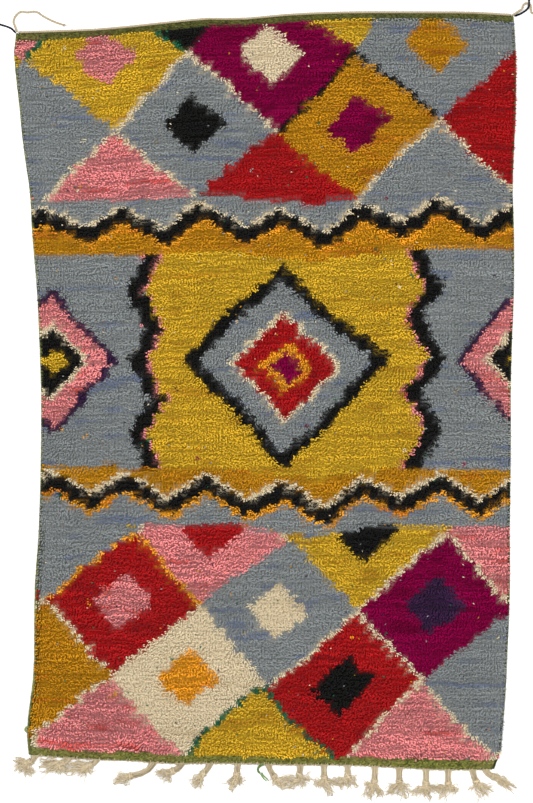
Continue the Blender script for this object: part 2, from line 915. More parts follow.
@dataclass
class FieldPattern:
    """A banded field of lozenges, zigzags and nested medallions.

    Every size here is a number of knots, across or along the rug.
    """

    columns: int = 156
    rows: int = 183
    half_width: float = 26.0
    half_height: float = 18.5
    heart_share: float = 0.40
    edge_share: float = 0.925
    lower_top: int = 57
    middle_start: int = 71
    middle_stop: int = 125
    upper_start: int = 139
    zigzag_period: float = 26.0
    zigzag_rise: float = 6.0
    medallion_width: float = 35.0
    medallion_height: float = 25.5
    side_width: float = 22.0
    side_height: float = 19.0
    snake_offset: float = 46.5
    snake_width: float = 5.5
    snake_swing: float = 3.5
    snake_period: float = 18.0
    drift_step: float = 0.35
    wobble: Noise = Noise(1.0, 22.0, 1.1)
    sway: float = 1.4
    sway_rows: float = 15.0
    sway_start: float = 0.6
    bow: float = 1.3
    bow_columns: float = 21.0
    bow_start: float = 1.0
    ripple: float = 0.8
    ripple_columns: float = 9.0
    lattice_foot: float = 0.01
    zigzag_lines: tuple[float, ...] = (1.0, 2.4, 6.2, 7.4)
    strays: float = 0.0012
    seed: int = 5

    def chart(self) -> Array:
        """Work out the wool of every knot.

        Returns:
            The wools' codes, by row from the bottom and column from the left.
        """
        rng = np.random.default_rng(self.seed)
        row = np.arange(self.rows)[:, None] * np.ones((1, self.columns))
        column = np.ones((self.rows, 1)) * (np.arange(self.columns)[None, :] - (self.columns - 1) / 2)
        drift = np.cumsum(rng.normal(0.0, self.drift_step, self.rows))
        drift -= np.linspace(drift[0], drift[-1], self.rows)
        wobble = smooth_noise(rng, row.shape, self.wobble)
        x = column + drift[:, None] + wobble + self.sway * np.sin(row / self.sway_rows + self.sway_start)
        bow = self.bow * np.sin(column / self.bow_columns + self.bow_start)
        y = row + bow + self.ripple * np.sin(column / self.ripple_columns)
        chart = np.full(x.shape, Wool.MUSTARD.value)
        lower = y < self.lower_top
        upper = y >= self.upper_start
        middle = (y >= self.middle_start) & (y < self.middle_stop)
        self.paint_lattice(Register(chart, lower, x, y), LOWER_LATTICE)
        self.paint_lattice(Register(chart, upper, x, y - self.upper_start), UPPER_LATTICE)
        level = y - (self.middle_start + self.middle_stop) / 2
        self.paint_middle(Register(chart, middle, x, level))
        below = (y >= self.lower_top) & (y < self.middle_start)
        above = (y >= self.middle_stop) & (y < self.upper_start)
        self.paint_zigzag(Register(chart, below, x, y - self.lower_top), Wool.GREY_BLUE, Wool.OCHRE)
        self.paint_zigzag(Register(chart, above, x, y - self.middle_stop), Wool.OCHRE, Wool.GREY_BLUE)
        self.scatter_strays(chart, rng)
        return chart

    def paint_lattice(self, part: Register, rows: tuple[tuple[Lozenge, ...], ...]) -> None:
        """Paint rows of lozenges that interlock, three and then four across.

        Args:
            part: The register, with its rows counted from its foot.
            rows: The lozenges, from the bottom row and from the left.
        """
        y = np.maximum(part.y, self.lattice_foot)
        p = part.x / self.half_width + y / self.half_height
        q = part.x / self.half_width - y / self.half_height
        i, j = np.floor((p + 1) / 2).astype(int), np.floor((q + 1) / 2).astype(int)
        level, place = i - j, i + j
        inside = np.maximum(np.abs(p - 2 * i), np.abs(q - 2 * j))
        rising = np.maximum(p - 2 * i, 2 * j - q)
        for n, lozenges in enumerate(rows):
            last = len(lozenges) - 1
            part.paint((level == n) & (place < -last), lozenges[0].ground)
            part.paint((level == n) & (place > last), lozenges[-1].ground)
            for m, lozenge in enumerate(lozenges):
                cell = (level == n) & (place == 2 * m - last)
                part.paint(cell, lozenge.ground)
                if lozenge.heart:
                    part.paint(cell & (inside < self.heart_share), lozenge.heart)
                if lozenge.edge:
                    part.paint(cell & (rising > self.edge_share), lozenge.edge)

    def paint_zigzag(self, part: Register, below: Wool, above: Wool) -> None:
        """Paint a zigzag of black with a pale and a bright line between two grounds.

        Args:
            part: The register, with its rows counted from its foot.
            below: The ground below the zigzag.
            above: The ground above it.
        """
        fold = np.abs((part.x / self.zigzag_period) % 1.0 - 0.5) * 2
        height = part.y - fold * self.zigzag_rise
        part.paint(part.where, below)
        for start, wool in zip(self.zigzag_lines, (Wool.ORANGE, Wool.BLACK, Wool.IVORY, above)):
            part.paint(height >= start, wool)

    def paint_middle(self, part: Register) -> None:
        """Paint medallions between upright snakes.

        Args:
            part: The register, with its rows counted from its middle.
        """
        aside, level = np.abs(part.x), part.y
        part.paint(part.where, Wool.MUSTARD)
        part.paint(aside > self.snake_offset, Wool.GREY_BLUE)
        fold = np.abs((level / self.snake_period) % 1.0 - 0.5) * 4 - 1
        offset = np.abs(aside - self.snake_offset - self.snake_swing * fold)
        half = self.snake_width / 2
        part.paint(offset < half, Wool.BLACK)
        part.paint((offset >= half) & (offset < half + 1) & (aside < self.snake_offset), Wool.PINK)
        across, along = part.x / self.medallion_width, level / self.medallion_height
        self.paint_rings(part, np.abs(across) + np.abs(along), MIDDLE_MEDALLION)
        across, along = (aside - self.columns / 2) / self.side_width, level / self.side_height
        self.paint_rings(part, np.abs(across) + np.abs(along), SIDE_MEDALLION)

    def paint_rings(self, part: Register, reach: Array, rings: tuple[Ring, ...]) -> None:
        """Paint nested lozenges, the largest first."""
        for ring in reversed(rings):
            part.paint(reach < ring.reach, ring.wool)

    def scatter_strays(self, chart: Array, rng: np.random.Generator) -> None:
        """Tie a few knots in another wool, as left-over ends are used up.

        Args:
            chart: The wools' codes, painted in place.
            rng: The random source.
        """
        strays = rng.random(chart.shape) < self.strays
        wools = (Wool.IVORY, Wool.GREEN, Wool.ORANGE, Wool.PLUM, Wool.GREY_BLUE)
        chart[strays] = rng.choice([wool.value for wool in wools], strays.sum())


# The pile


@dataclass
class Pile:
    """Cut ends of wool, several to a knot, in rows across the rug."""

    plan: RugPlan
    chart: Array
    side_inset: float = 0.0004
    bare_share: float = 1.4
    ragged: float = 0.0034
    low_inset: float = 0.0080
    high_overhang: float = 0.0002
    root_z: float = 0.0028
    length: float = 0.0166
    length_spread: float = 0.0013
    width: float = 0.0055
    thickness: float = 0.80
    pair_gap: float = 0.0046
    row_gap: float = 0.0056
    jitter: float = 0.0016
    row_wave: Noise = Noise(14.0, 22.0, 0.35)
    knot_shift: float = 0.12
    root_angle: float = math.radians(8)
    tip_angle: float = math.radians(61)
    tip_spread: float = math.radians(10)
    tip_low: float = math.radians(44)
    tip_high: float = math.radians(92)
    splay: float = math.radians(15)
    swing: float = math.radians(23)
    flow: Noise = Noise(13.0, 20.0, math.radians(230))
    flow_limit: float = math.radians(76)
    row_flow: Noise = Noise(1.0, 30.0, math.radians(40))
    parted_lean: float = math.radians(86)
    rim_calm: float = 0.65
    top_lean: float = math.radians(80)
    side_lean: float = math.radians(84)
    rim_reach: float = 0.007
    top_reach: float = 0.003
    side_reach: float = 0.017
    bare_full: float = 0.008
    lumps: Noise = Noise(7.0, 9.0, 0.07)
    ridge: float = 0.07
    ridges: Noise = Noise(1.0, 7.0)
    thin: float = 0.82
    full: float = 1.18
    lock_sides: int = 3
    lock_bends: tuple[float, ...] = (0.56, 0.68)
    fleck_share: float = 0.0045
    pick_tone: float = 0.36
    lock_tone: float = 0.15
    tone_bands: Noise = Noise(5.0, 60.0, 0.12)
    tone_rows: Noise = Noise(1.3, 30.0, 0.12)
    tone_patches: Noise = Noise(2.0, 4.0, 0.10)
    streaks: Noise = Noise(1.2, 11.0)
    streak_start: float = 0.44
    streak_gain: float = 3.2
    streak_spread: float = 0.12
    partings_near: Noise = Noise(1.0, 6.0)
    partings_far: Noise = Noise(24.0, 24.0, 0.3)
    parting_gain: float = 3.5
    parting_cut: float = 0.30
    parting_start: float = 0.24
    parting_width: float = 0.0020
    parting_shade: float = 0.74
    most_locks: int = 32_000
    sides: tuple[int, ...] = (-1, -1, 1, 1)
    levels: tuple[int, ...] = (-1, 1, -1, 1)
    seed: int = 17
    rng: np.random.Generator = field(init=False)

    def __post_init__(self) -> None:
        """Start the random source."""
        self.rng = np.random.default_rng(self.seed)

    def noise(self, noise: Noise) -> Array:
        """Make smooth noise over the knots."""
        return smooth_noise(self.rng, self.chart.shape, noise)

    def roots(self) -> tuple[Array, Array]:
        """Place the roots of all the locks.

        Returns:
            The x and y of each root, by row, column and lock of the knot.
        """
        rows, columns = self.chart.shape
        wave = self.noise(self.row_wave)
        v = (np.arange(rows)[:, None] + 0.5 + wave) / rows
        shift = self.rng.uniform(-self.knot_shift, self.knot_shift, (rows, columns))
        u = (np.arange(columns)[None, :] + 0.5 + shift) / columns
        teeth = self.rng.normal(0.0, self.ragged, columns)
        ends = np.linspace(self.plan.low_end[0, 0], self.plan.low_end[-1, 0], columns)
        plan = self.plan
        x, y = plan.between(
            u, v,
            lambda y: plan.left(y) + self.side_inset + plan.bare_left(y) * self.bare_share,
            lambda y: plan.right(y) - self.side_inset - plan.bare_right(y) * self.bare_share,
            lambda x: plan.low(x) + plan.low_band(x) + self.low_inset + np.interp(x, ends, teeth),
            lambda x: plan.high(x) - plan.high_band(x) + self.high_overhang,
        )
        x = x[..., None] + np.array(self.sides) * self.pair_gap / 2
        y = y[..., None] + np.array(self.levels) * self.row_gap / 2
        x += self.rng.uniform(-self.jitter, self.jitter, x.shape)
        y += self.rng.uniform(-self.jitter, self.jitter, y.shape)
        inner = plan.low(x) + plan.low_band(x) + self.low_inset - self.ragged
        return x, np.maximum(y, inner)

    def partings(self) -> Array:
        """Work out how far each knot row parts from the one below it.

        Returns:
            The parting of each knot, from 0 to 1.
        """
        noise = self.noise(self.partings_near) + self.noise(self.partings_far)
        return np.clip((noise - self.parting_start) * self.parting_gain, 0.0, 1.0)

    def leans(self, x: Array, y: Array, parting: Array) -> Array:
        """Work out the plan direction that each lock leans in.

        The pile lies one way over a patch and a little differently from row to
        row. At the sides it lies outwards, and at the two ends along the edge.

        Args:
            x: The roots' x.
            y: The roots' y.
            parting: How far each knot row parts from the one below it.

        Returns:
            The directions, as angles from +X.
        """
        plan = self.plan
        patches = self.noise(self.flow)
        patches = np.clip(patches, -self.flow_limit, self.flow_limit)
        rows = self.noise(self.row_flow)
        turn = lerp(patches + rows, np.sign(patches) * self.parted_lean, parting)
        turn = turn[..., None] + np.array(self.sides) * self.splay * (1 - parting[..., None])
        turn = turn + self.rng.normal(0.0, self.swing, x.shape)
        low = np.exp(-np.abs(y - plan.low(x) - plan.low_band(x) - self.low_inset) / self.rim_reach)
        turn *= 1 - self.rim_calm * low
        top = np.exp(-np.clip(plan.high(x) - plan.high_band(x) - y, 0.0, None) / self.top_reach)
        turn = lerp(turn, np.array(self.sides) * self.top_lean, top)
        for sign, gap, bare in ((1, plan.right(y) - x, plan.bare_right(y)),
                                (-1, x - plan.left(y), plan.bare_left(y))):
            pull = np.exp(-(np.clip(gap, 0.0, None) / self.side_reach) ** 2)
            pull = pull * (1 - np.clip(bare / self.bare_full, 0.0, 1.0))
            turn = lerp(turn, sign * self.side_lean, pull)
        return turn - math.pi / 2

    def tones(self) -> tuple[Array, Array]:
        """Work out how the dye changes over the field.

        Returns:
            The tone and the streak of each knot, from 0 to 1.
        """
        bands = self.noise(self.tone_bands)
        rows = self.noise(self.tone_rows)
        patches = self.noise(self.tone_patches)
        streak = (self.noise(self.streaks) - self.streak_start) * self.streak_gain
        return 0.5 + bands + rows + patches, np.clip(streak, 0.0, 1.0)

    def picks(self) -> Array:
        """Work out how each line of locks along a row differs from the next.

        Returns:
            A number from -1 to 1 for each lock.
        """
        rows, columns = self.chart.shape
        fine = smooth_noise(self.rng, (2 * rows, columns), self.ridges).reshape(rows, 2, columns)
        line = (np.array(self.levels) + 1) // 2
        return fine[:, line].transpose(0, 2, 1)

    def wools(self) -> Array:
        """Give each lock its knot's wool, with a few flecks of others spun in.

        Returns:
            The wool's code for each lock.
        """
        wools = np.repeat(self.chart[..., None], len(self.sides), axis=2)
        flecks = self.rng.random(wools.shape) < self.fleck_share
        strange = [Wool.IVORY, Wool.OCHRE, Wool.GREY_BLUE, Wool.AUBERGINE, Wool.GREEN]
        wools[flecks] = self.rng.choice([wool.value for wool in strange], flecks.sum())
        return wools

    def bend(self, form: Form, x: Array, y: Array, lean: Array, tip: Array, length: Array) -> Array:
        """Bend copies of one lock over from their roots to their tips.

        Args:
            form: The lock.
            x: The roots' x.
            y: The roots' y.
            lean: The plan direction each lock leans in, as an angle from +X.
            tip: The angle of each tip from upright.
            length: The length of each lock.

        Returns:
            The points, as locks by points by 3.
        """
        share = form.points[None, :, 2]
        start = self.root_angle
        turned = tip[:, None] - start
        angle = start + turned * share
        forward = length[:, None] * (math.cos(start) - np.cos(angle)) / turned
        upward = length[:, None] * (np.sin(angle) - math.sin(start)) / turned
        bulk = self.rng.uniform(self.thin, self.full, (len(x), 1, 1))
        section = form.points[None, :, :2] * self.width * bulk
        roll = self.rng.uniform(-math.pi, math.pi, (len(x), 1))
        across = section[..., 0] * np.cos(roll) - section[..., 1] * np.sin(roll)
        deep = (section[..., 0] * np.sin(roll) + section[..., 1] * np.cos(roll)) * self.thickness
        reach = forward + deep * np.cos(angle)
        cos_lean, sin_lean = np.cos(lean)[:, None], np.sin(lean)[:, None]
        return np.stack([
            x[:, None] + cos_lean * reach - sin_lean * across,
            y[:, None] + sin_lean * reach + cos_lean * across,
            self.root_z + upward - deep * np.sin(angle),
        ], axis=-1)

    def build(self) -> list[bpy.types.Object]:
        """Build the pile, one piece for each wool.

        Returns:
            The pieces.
        """
        x, y = self.roots()
        parting = self.partings()
        lean = self.leans(x, y, parting)
        below = parting[..., None] * (np.array(self.levels) < 0)
        y += self.parting_width * below
        tone, streak = self.tones()
        lumps = self.noise(self.lumps)[..., None]
        picks = self.picks()
        length = self.length * (1 + lumps + self.ridge * picks)
        length = length * (1 - self.parting_cut * below) + self.rng.normal(0.0, self.length_spread, x.shape)
        tip = self.tip_angle + self.rng.normal(0.0, self.tip_spread, x.shape)
        tip = np.clip(tip, self.tip_low, self.tip_high)
        tone = tone[..., None] + self.pick_tone * picks + self.rng.normal(0.0, self.lock_tone, x.shape)
        tone = tone - self.parting_shade * below
        streak = np.clip(streak[..., None] + self.rng.normal(0.0, self.streak_spread, x.shape), 0.0, 1.0)
        forms = [lock_form(self.lock_sides, bend) for bend in self.lock_bends]
        kind = self.rng.integers(0, len(forms), x.shape)
        wools = self.wools()
        pieces = []
        for wool in Wool:
            picked = np.argwhere(wools == wool.value)
            material = WOOL_FINISHES[wool].material()
            groups = math.ceil(len(picked) / self.most_locks)
            for number, part in enumerate(np.array_split(picked, groups)):
                copies = Copies()
                for index, form in enumerate(forms):
                    spot = tuple(part[kind[tuple(part.T)] == index].T)
                    points = self.bend(form, x[spot], y[spot], lean[spot], tip[spot], length[spot])
                    copies.add(form, points, tone=tone[spot][:, None], streak=streak[spot][:, None],
                               root=form.points[None, :, 2])
                name = f"pile_{wool.name.lower()}" + (f"_{number + 1}" if groups > 1 else "")
                pieces.append(place_piece(name, copies.mesh(name), material))
        return pieces


# The cloth


@dataclass
class Foundation:
    """The thin knotted cloth that carries the pile."""

    plan: RugPlan
    chart: Array
    columns: int = 78
    rows: int = 92
    low_z: float = 0.0006
    high_z: float = 0.0030
    inset: float = 0.0001
    rim_share: float = 1.8
    ground_lift: float = 0.25

    def build(self) -> bpy.types.Object:
        """Build the cloth, dyed below its pile like the knots above it.

        Returns:
            The piece.
        """
        bm = bmesh.new()
        bmesh.ops.create_grid(bm, x_segments=self.columns, y_segments=self.rows, size=0.5)
        raised = bmesh.ops.extrude_face_region(bm, geom=bm.faces[:])["geom"]
        for item in raised:
            if isinstance(item, bmesh.types.BMVert):
                item.co.z = 1.0
        bmesh.ops.recalc_face_normals(bm, faces=bm.faces)
        mesh = bpy.data.meshes.new("foundation")
        bm.to_mesh(mesh)
        bm.free()
        co = np.zeros(len(mesh.vertices) * 3, np.float32)
        mesh.vertices.foreach_get("co", co)
        u, v, level = co[0::3] + 0.5, co[1::3] + 0.5, co[2::3]
        x, y = self.plan.place(u, v, (self.inset,) * 4)
        points = np.stack([x, y, lerp(self.low_z, self.high_z, level)], axis=1)
        mesh.vertices.foreach_set("co", points.astype(np.float32).ravel())
        mesh.update()
        self.dye(mesh, x, y, u)
        return place_piece("foundation", mesh, ClothFinish().material(), ("rug_body",))

    def dye(self, mesh: bpy.types.Mesh, x: Array, y: Array, u: Array) -> None:
        """Colour the cloth: the field's wools, and green past its ends.

        Args:
            mesh: The cloth's mesh.
            x: The points' x.
            y: The points' y.
            u: Their shares of the width, from the left.
        """
        rows, columns = self.chart.shape
        low = self.plan.low(x) + self.plan.low_band(x)
        high = self.plan.high(x) - self.plan.high_band(x)
        share = (y - low) / (high - low)
        row = np.clip((share * rows).astype(int), 0, rows - 1)
        column = np.clip((u * columns).astype(int), 0, columns - 1)
        finishes = [WOOL_FINISHES[wool] for wool in Wool]
        palette = np.array([(*finish.colour, 1.0) for finish in finishes])
        palette[:, :3] *= np.array([[finish.root_shade + self.ground_lift] for finish in finishes])
        colours = palette[self.chart[row, column]]
        rim = x < self.plan.left(y) + self.plan.bare_left(y) * self.rim_share
        colours[(share < 0.0) | (share > 1.0) | rim] = (*OLIVE_YARN.streak, 1.0)
        made = mesh.attributes.new("dye", "FLOAT_COLOR", "POINT")
        made.data.foreach_set("color", colours.astype(np.float32).ravel())


@dataclass
class WovenBand:
    """A flat-woven green end: weft beads over hidden warps."""

    plan: RugPlan
    name: str
    at_top: bool
    warp_pitch: float = 0.0048
    pick_pitch: float = 0.0036
    tuck: float = 0.0060
    base_z: float = 0.0036
    pick_relief: float = 0.0007
    bead_relief: float = 0.0005
    edge_drop: float = 0.0014
    edge_reach: float = 0.003
    depth: float = 0.024
    side_gap: float = 0.0006
    trough: float = -0.6
    trough_root: float = 0.35
    roughness: float = 0.00012
    sharp: float = math.radians(70)
    tone_drift: Noise = Noise(4.0, 50.0, 0.15)
    tone_spread: float = 0.24
    streak: float = 0.4
    streak_spread: float = 0.35
    folds: int = 7
    map_overrun: float = 1.1
    map_width: float = 0.9
    map_foot: float = 0.08
    map_rise: float = 0.8
    map_drop: float = 0.05
    seed: int = 23

    def build(self) -> bpy.types.Object:
        """Build the band.

        Returns:
            The piece.
        """
        width = float(np.ptp(self.plan.low_end[:, 0]))
        columns = round(width / self.warp_pitch * 2)
        rows = round((self.depth + self.tuck) / self.pick_pitch * 2)
        bm = bmesh.new()
        bmesh.ops.create_grid(bm, x_segments=columns, y_segments=rows, size=0.5)
        rim = [edge for edge in bm.edges if edge.is_boundary]
        made = bmesh.ops.extrude_edge_only(bm, edges=rim)["geom"]
        for item in made:
            if isinstance(item, bmesh.types.BMVert):
                item.co.z = -1.0
        foot = [item for item in made if isinstance(item, bmesh.types.BMEdge) and item.is_boundary]
        bmesh.ops.contextual_create(bm, geom=foot)
        bmesh.ops.recalc_face_normals(bm, faces=bm.faces)
        mesh = bpy.data.meshes.new(self.name)
        bm.to_mesh(mesh)
        bm.free()
        self.shape(mesh, columns, rows)
        mesh.shade_smooth()
        mesh.set_sharp_from_angle(angle=self.sharp)
        finish = DARK_OLIVE_YARN if self.at_top else OLIVE_YARN
        return place_piece(self.name, mesh, finish.material())

    def shape(self, mesh: bpy.types.Mesh, columns: int, rows: int) -> None:
        """Lay the grid along the end of the cloth and raise its weave.

        Args:
            mesh: The grid, one unit wide and one unit deep.
            columns: The number of its columns.
            rows: The number of its rows.
        """
        rng = np.random.default_rng(self.seed + self.at_top)
        co = np.zeros(len(mesh.vertices) * 3, np.float32)
        mesh.vertices.foreach_get("co", co)
        u, t, level = co[0::3] + 0.5, co[1::3] + 0.5, co[2::3]
        inset = (self.side_gap, self.side_gap, 0.0, 0.0)
        x, edge = self.plan.place(u, 1.0 if self.at_top else 0.0, inset)
        band = self.plan.high_band(x) if self.at_top else self.plan.low_band(x)
        reach = (band + self.tuck) * t
        y = edge - reach if self.at_top else edge + reach
        x = lerp(self.plan.left(y) + self.side_gap, self.plan.right(y) - self.side_gap, u)
        warp, pick = np.rint(u * columns).astype(int), np.rint(t * rows).astype(int)
        bead = np.where((warp // 2 + pick // 2) % 2 == 0, 1.0, -1.0)
        crest = np.where(pick % 2 == 0, 1.0, self.trough)
        z = self.base_z + self.pick_relief * crest + self.bead_relief * bead
        drop = self.edge_drop * np.clip(1 - reach / self.edge_reach, 0, 1)
        z += rng.normal(0.0, self.roughness, len(z)) - drop
        z = np.where(level < -0.5, FLOOR_CLEARANCE, z)
        points = np.stack([x, y, z], axis=1)
        mesh.vertices.foreach_set("co", points.astype(np.float32).ravel())
        mesh.update()
        grid = (rows + 2, columns + 2)
        drift = smooth_noise(rng, grid, self.tone_drift)
        beads = rng.normal(0.0, self.tone_spread, grid)[pick // 2, warp // 2]
        carry(mesh, "tone", 0.5 + drift[pick, warp] + beads)
        streaks = rng.normal(0.0, self.streak_spread, grid)[pick // 2, warp // 2]
        carry(mesh, "streak", self.streak + streaks)
        carry(mesh, "root", np.where(crest > 0, 1.0, self.trough_root))
        self.lay_map(mesh, u, t, level)

    def lay_map(self, mesh: bpy.types.Mesh, u: Array, t: Array, level: Array) -> None:
        """Lay the long band out in short rows of the baking map.

        Args:
            mesh: The band's mesh.
            u: The points' shares of its width.
            t: Their shares of its depth.
            level: Their level in the grid, below zero at its foot.
        """
        folds = self.folds
        corners = np.zeros(len(mesh.loops), np.int32)
        mesh.loops.foreach_get("vertex_index", corners)
        starts = np.zeros(len(mesh.polygons), np.int32)
        mesh.polygons.foreach_get("loop_start", starts)
        sizes = np.diff(np.append(starts, len(corners)))
        fold = np.minimum(np.floor(np.minimum.reduceat(u[corners], starts) * folds), folds - 1)
        fold = np.repeat(fold, sizes)
        along = np.clip(u[corners] * folds - fold, 0.0, self.map_overrun) * self.map_width
        across = self.map_foot + self.map_rise * t[corners] - self.map_drop * (level[corners] < -0.5)
        layer = mesh.uv_layers.new(name=BAKE_MAP)
        cells = np.stack([along, (fold + across) / folds], axis=1)
        layer.data.foreach_set("uv", cells.astype(np.float32).ravel())


# Edge cords and tails


CURVE_PARTS = 16


def walk(route: list[tuple[float, float, float]], step: float) -> Array:
    """Walk a smooth curve through a route in equal steps.

    Args:
        route: The points that the curve passes.
        step: The distance between the points returned.

    Returns:
        The points, as points by 3.
    """
    given = np.array(route)
    before = np.vstack([given[:1], given[:-1]])[:-1]
    start, stop = given[:-1], given[1:]
    after = np.vstack([given[2:], given[-1:]])
    t = (np.arange(CURVE_PARTS) / CURVE_PARTS)[None, :, None]
    before, start, stop, after = (part[:, None, :] for part in (before, start, stop, after))
    dense = 0.5 * (
        2 * start
        + (stop - before) * t
        + (2 * before - 5 * start + 4 * stop - after) * t**2
        + (3 * start - before - 3 * stop + after) * t**3
    )
    dense = np.vstack([dense.reshape(-1, 3), given[-1:]])
    return even(dense, step)


def even(line: Array, step: float) -> Array:
    """Space the points of a line evenly.

    Args:
        line: The points, as points by 3.
        step: About how far apart they come to lie.

    Returns:
        The new points.
    """
    lengths = np.concatenate([[0.0], np.cumsum(np.linalg.norm(np.diff(line, axis=0), axis=1))])
    count = max(3, round(lengths[-1] / step) + 1)
    at = np.linspace(0.0, lengths[-1], count)
    return np.stack([np.interp(at, lengths, line[:, k]) for k in range(3)], axis=1)


@dataclass
class TwistedYarn:
    """Two plies of yarn laid round each other along a line."""

    radius: float
    pitch: float
    steps: int = 12
    sides: int = 10
    groove: float = 0.24
    fuzz: float = 0.07
    end_steps: float = 2.0
    end_low: float = 0.35
    tone_spread: float = 0.10
    ply_tone: float = 0.08
    streak: float = 0.35
    ply_streak: float = 0.25
    valley_root: float = 0.25
    seed: int = 3

    def mesh(self, name: str, line: Array) -> bpy.types.Mesh:
        """Build the yarn's mesh.

        Args:
            name: The mesh's name.
            line: Its middle line.

        Returns:
            The mesh.
        """
        rng = np.random.default_rng(self.seed + len(name))
        tube = UnitTube(len(line), self.sides)
        thick = 1 + self.fuzz * rng.normal(0.0, 1.0, len(line))

        def radius(station: Array, angle: Array) -> Array:
            """Work out the reach of the two plies.

            Args:
                station: The numbers of the stations.
                angle: The angles about the line.

            Returns:
                The reach at each place.
            """
            ply = np.cos(angle - 2 * math.pi * station / self.steps)
            nearest = np.minimum(station, len(line) - 1 - station)
            end = np.clip(nearest / self.end_steps, self.end_low, 1.0)
            lobes = 1 - self.groove + self.groove * ply**2
            return self.radius * lobes * thick[station] * end

        points = tube.along(line[None], radius)
        points[..., 2] = np.maximum(points[..., 2], ON_FLOOR)
        ply = np.cos(tube.angle - 2 * math.pi * tube.station / self.steps)
        uneven = self.tone_spread * rng.normal(0.0, 1.0, len(line))[tube.station]
        tone = 0.5 + uneven + self.ply_tone * np.sign(ply)
        root = self.valley_root + (1 - self.valley_root) * ply**2
        copies = Copies()
        copies.add(tube.form, points, tone=tone[None], streak=self.streak + self.ply_streak * ply[None],
                   root=root[None])
        mesh = copies.mesh(name)
        fold_long(mesh, tube.form.cells)
        return mesh


def fold_long(mesh: bpy.types.Mesh, cells: Array) -> None:
    """Fold a long strip of the baking map into several short ones.

    Args:
        mesh: The mesh, whose map holds one tall cell.
        cells: The place of each face corner in that cell.
    """
    folds = TUBE_FOLDS
    starts = np.zeros(len(mesh.polygons), np.int32)
    mesh.polygons.foreach_get("loop_start", starts)
    sizes = np.diff(np.append(starts, len(cells)))
    along = np.clip((cells[:, 1] - SIDE_FOOT) / SIDE_RISE, 0.0, 1.0)
    ends = cells[:, 1] > END_START
    fold = np.minimum(np.floor(np.minimum.reduceat(along, starts) * folds), folds - 1)
    fold = np.repeat(fold, sizes)
    u = (np.where(ends, folds, fold) + FOLD_SIDE + FOLD_WIDTH * cells[:, 0]) / (folds + 1)
    v = FOLD_FOOT + FOLD_RISE * np.clip(along * folds - fold, 0.0, FOLD_OVERRUN)
    v = np.where(ends, (cells[:, 1] - END_FLOOR) * END_GAIN, v)
    places = np.stack([u, v], axis=1).astype(np.float32)
    mesh.uv_layers[BAKE_MAP].data.foreach_set("uv", places.ravel())


@dataclass
class OvercastEdge:
    """A side cord wrapped with green yarn, turn beside turn."""

    plan: RugPlan
    name: str
    sign: int
    radius: float = 0.0035
    wrap_pitch: float = 0.0052
    steps: int = 4
    sides: int = 6
    inward: float = 0.75
    gap: float = 0.0003
    end_gap: float = 0.0020
    snug: float = 0.86
    end_steps: float = 3.0
    end_low: float = 0.5
    trough: float = 0.82
    crest: float = 0.24
    size_spread: float = 0.07
    tint_spread: float = 0.30
    tint_drift: Noise = Noise(5.0, 1.0, 0.5)
    streak: float = 0.4
    trough_root: float = 0.2
    seed: int = 31

    def reach(self) -> float:
        """Return the cord's radius, which is a little less on the right side."""
        return self.radius * (self.snug if self.sign > 0 else 1.0)

    def line(self) -> Array:
        """Lead the cord beside the cloth.

        Returns:
            Its middle line.
        """
        side = self.plan.left_side if self.sign < 0 else self.plan.right_side
        lean = np.hypot(1.0, np.gradient(side[:, 0], side[:, 1]))
        offset = self.sign * (self.reach() + self.gap) * lean
        height = np.full(len(side), self.radius + FLOOR_CLEARANCE)
        line = np.stack([side[:, 0] + offset, side[:, 1], height], axis=1)
        line[0, 1] += self.end_gap
        return even(line, self.wrap_pitch / self.steps)

    def build(self) -> bpy.types.Object:
        """Build the cord.

        Returns:
            The piece.
        """
        rng = np.random.default_rng(self.seed + self.sign)
        line = self.line()
        tube = UnitTube(len(line), self.sides)
        wraps = len(line) // self.steps + 2
        size = 1 + self.size_spread * rng.normal(0.0, 1.0, wraps)
        tint = rng.normal(0.0, self.tint_spread, wraps)
        drift = smooth_noise(rng, (wraps, 1), self.tint_drift)[:, 0]

        def phase(station: Array, angle: Array) -> Array:
            """Return how many turns of the wrapping come before a place."""
            return station / self.steps + (angle / (2 * math.pi)) % 1.0

        def radius(station: Array, angle: Array) -> Array:
            """Work out the reach of the wrapping.

            Args:
                station: The numbers of the stations.
                angle: The angles about the line.

            Returns:
                The reach at each place.
            """
            turn = phase(station, angle)
            crest = np.abs(np.sin(math.pi * turn))
            nearest = np.minimum(station, len(line) - 1 - station)
            end = np.clip(nearest / self.end_steps, self.end_low, 1.0)
            inner = 1 + self.inward * np.clip(-self.sign * np.cos(angle), 0.0, 1.0) ** 2
            full = self.reach() * (self.trough + self.crest * crest)
            return full * size[turn.astype(int) % wraps] * end * inner

        points = tube.along(line[None], radius)
        points[..., 2] = np.maximum(points[..., 2], ON_FLOOR)
        turn = phase(tube.station, tube.angle)
        crest = np.abs(np.sin(math.pi * turn))
        wrap = turn.astype(int) % wraps
        copies = Copies()
        copies.add(tube.form, points, tone=(0.5 + tint[wrap])[None],
                   streak=(self.streak + drift[wrap])[None],
                   root=(self.trough_root + (1 - self.trough_root) * crest)[None])
        mesh = copies.mesh(self.name)
        fold_long(mesh, tube.form.cells)
        finish = DARK_OLIVE_YARN if self.sign > 0 else SIDE_OLIVE_YARN
        return place_piece(self.name, mesh, finish.material(), (self.node(),))

    def node(self) -> str:
        """Return the name of the frame's node that the cord stands for."""
        return "selvedge_left" if self.sign < 0 else "selvedge_right"


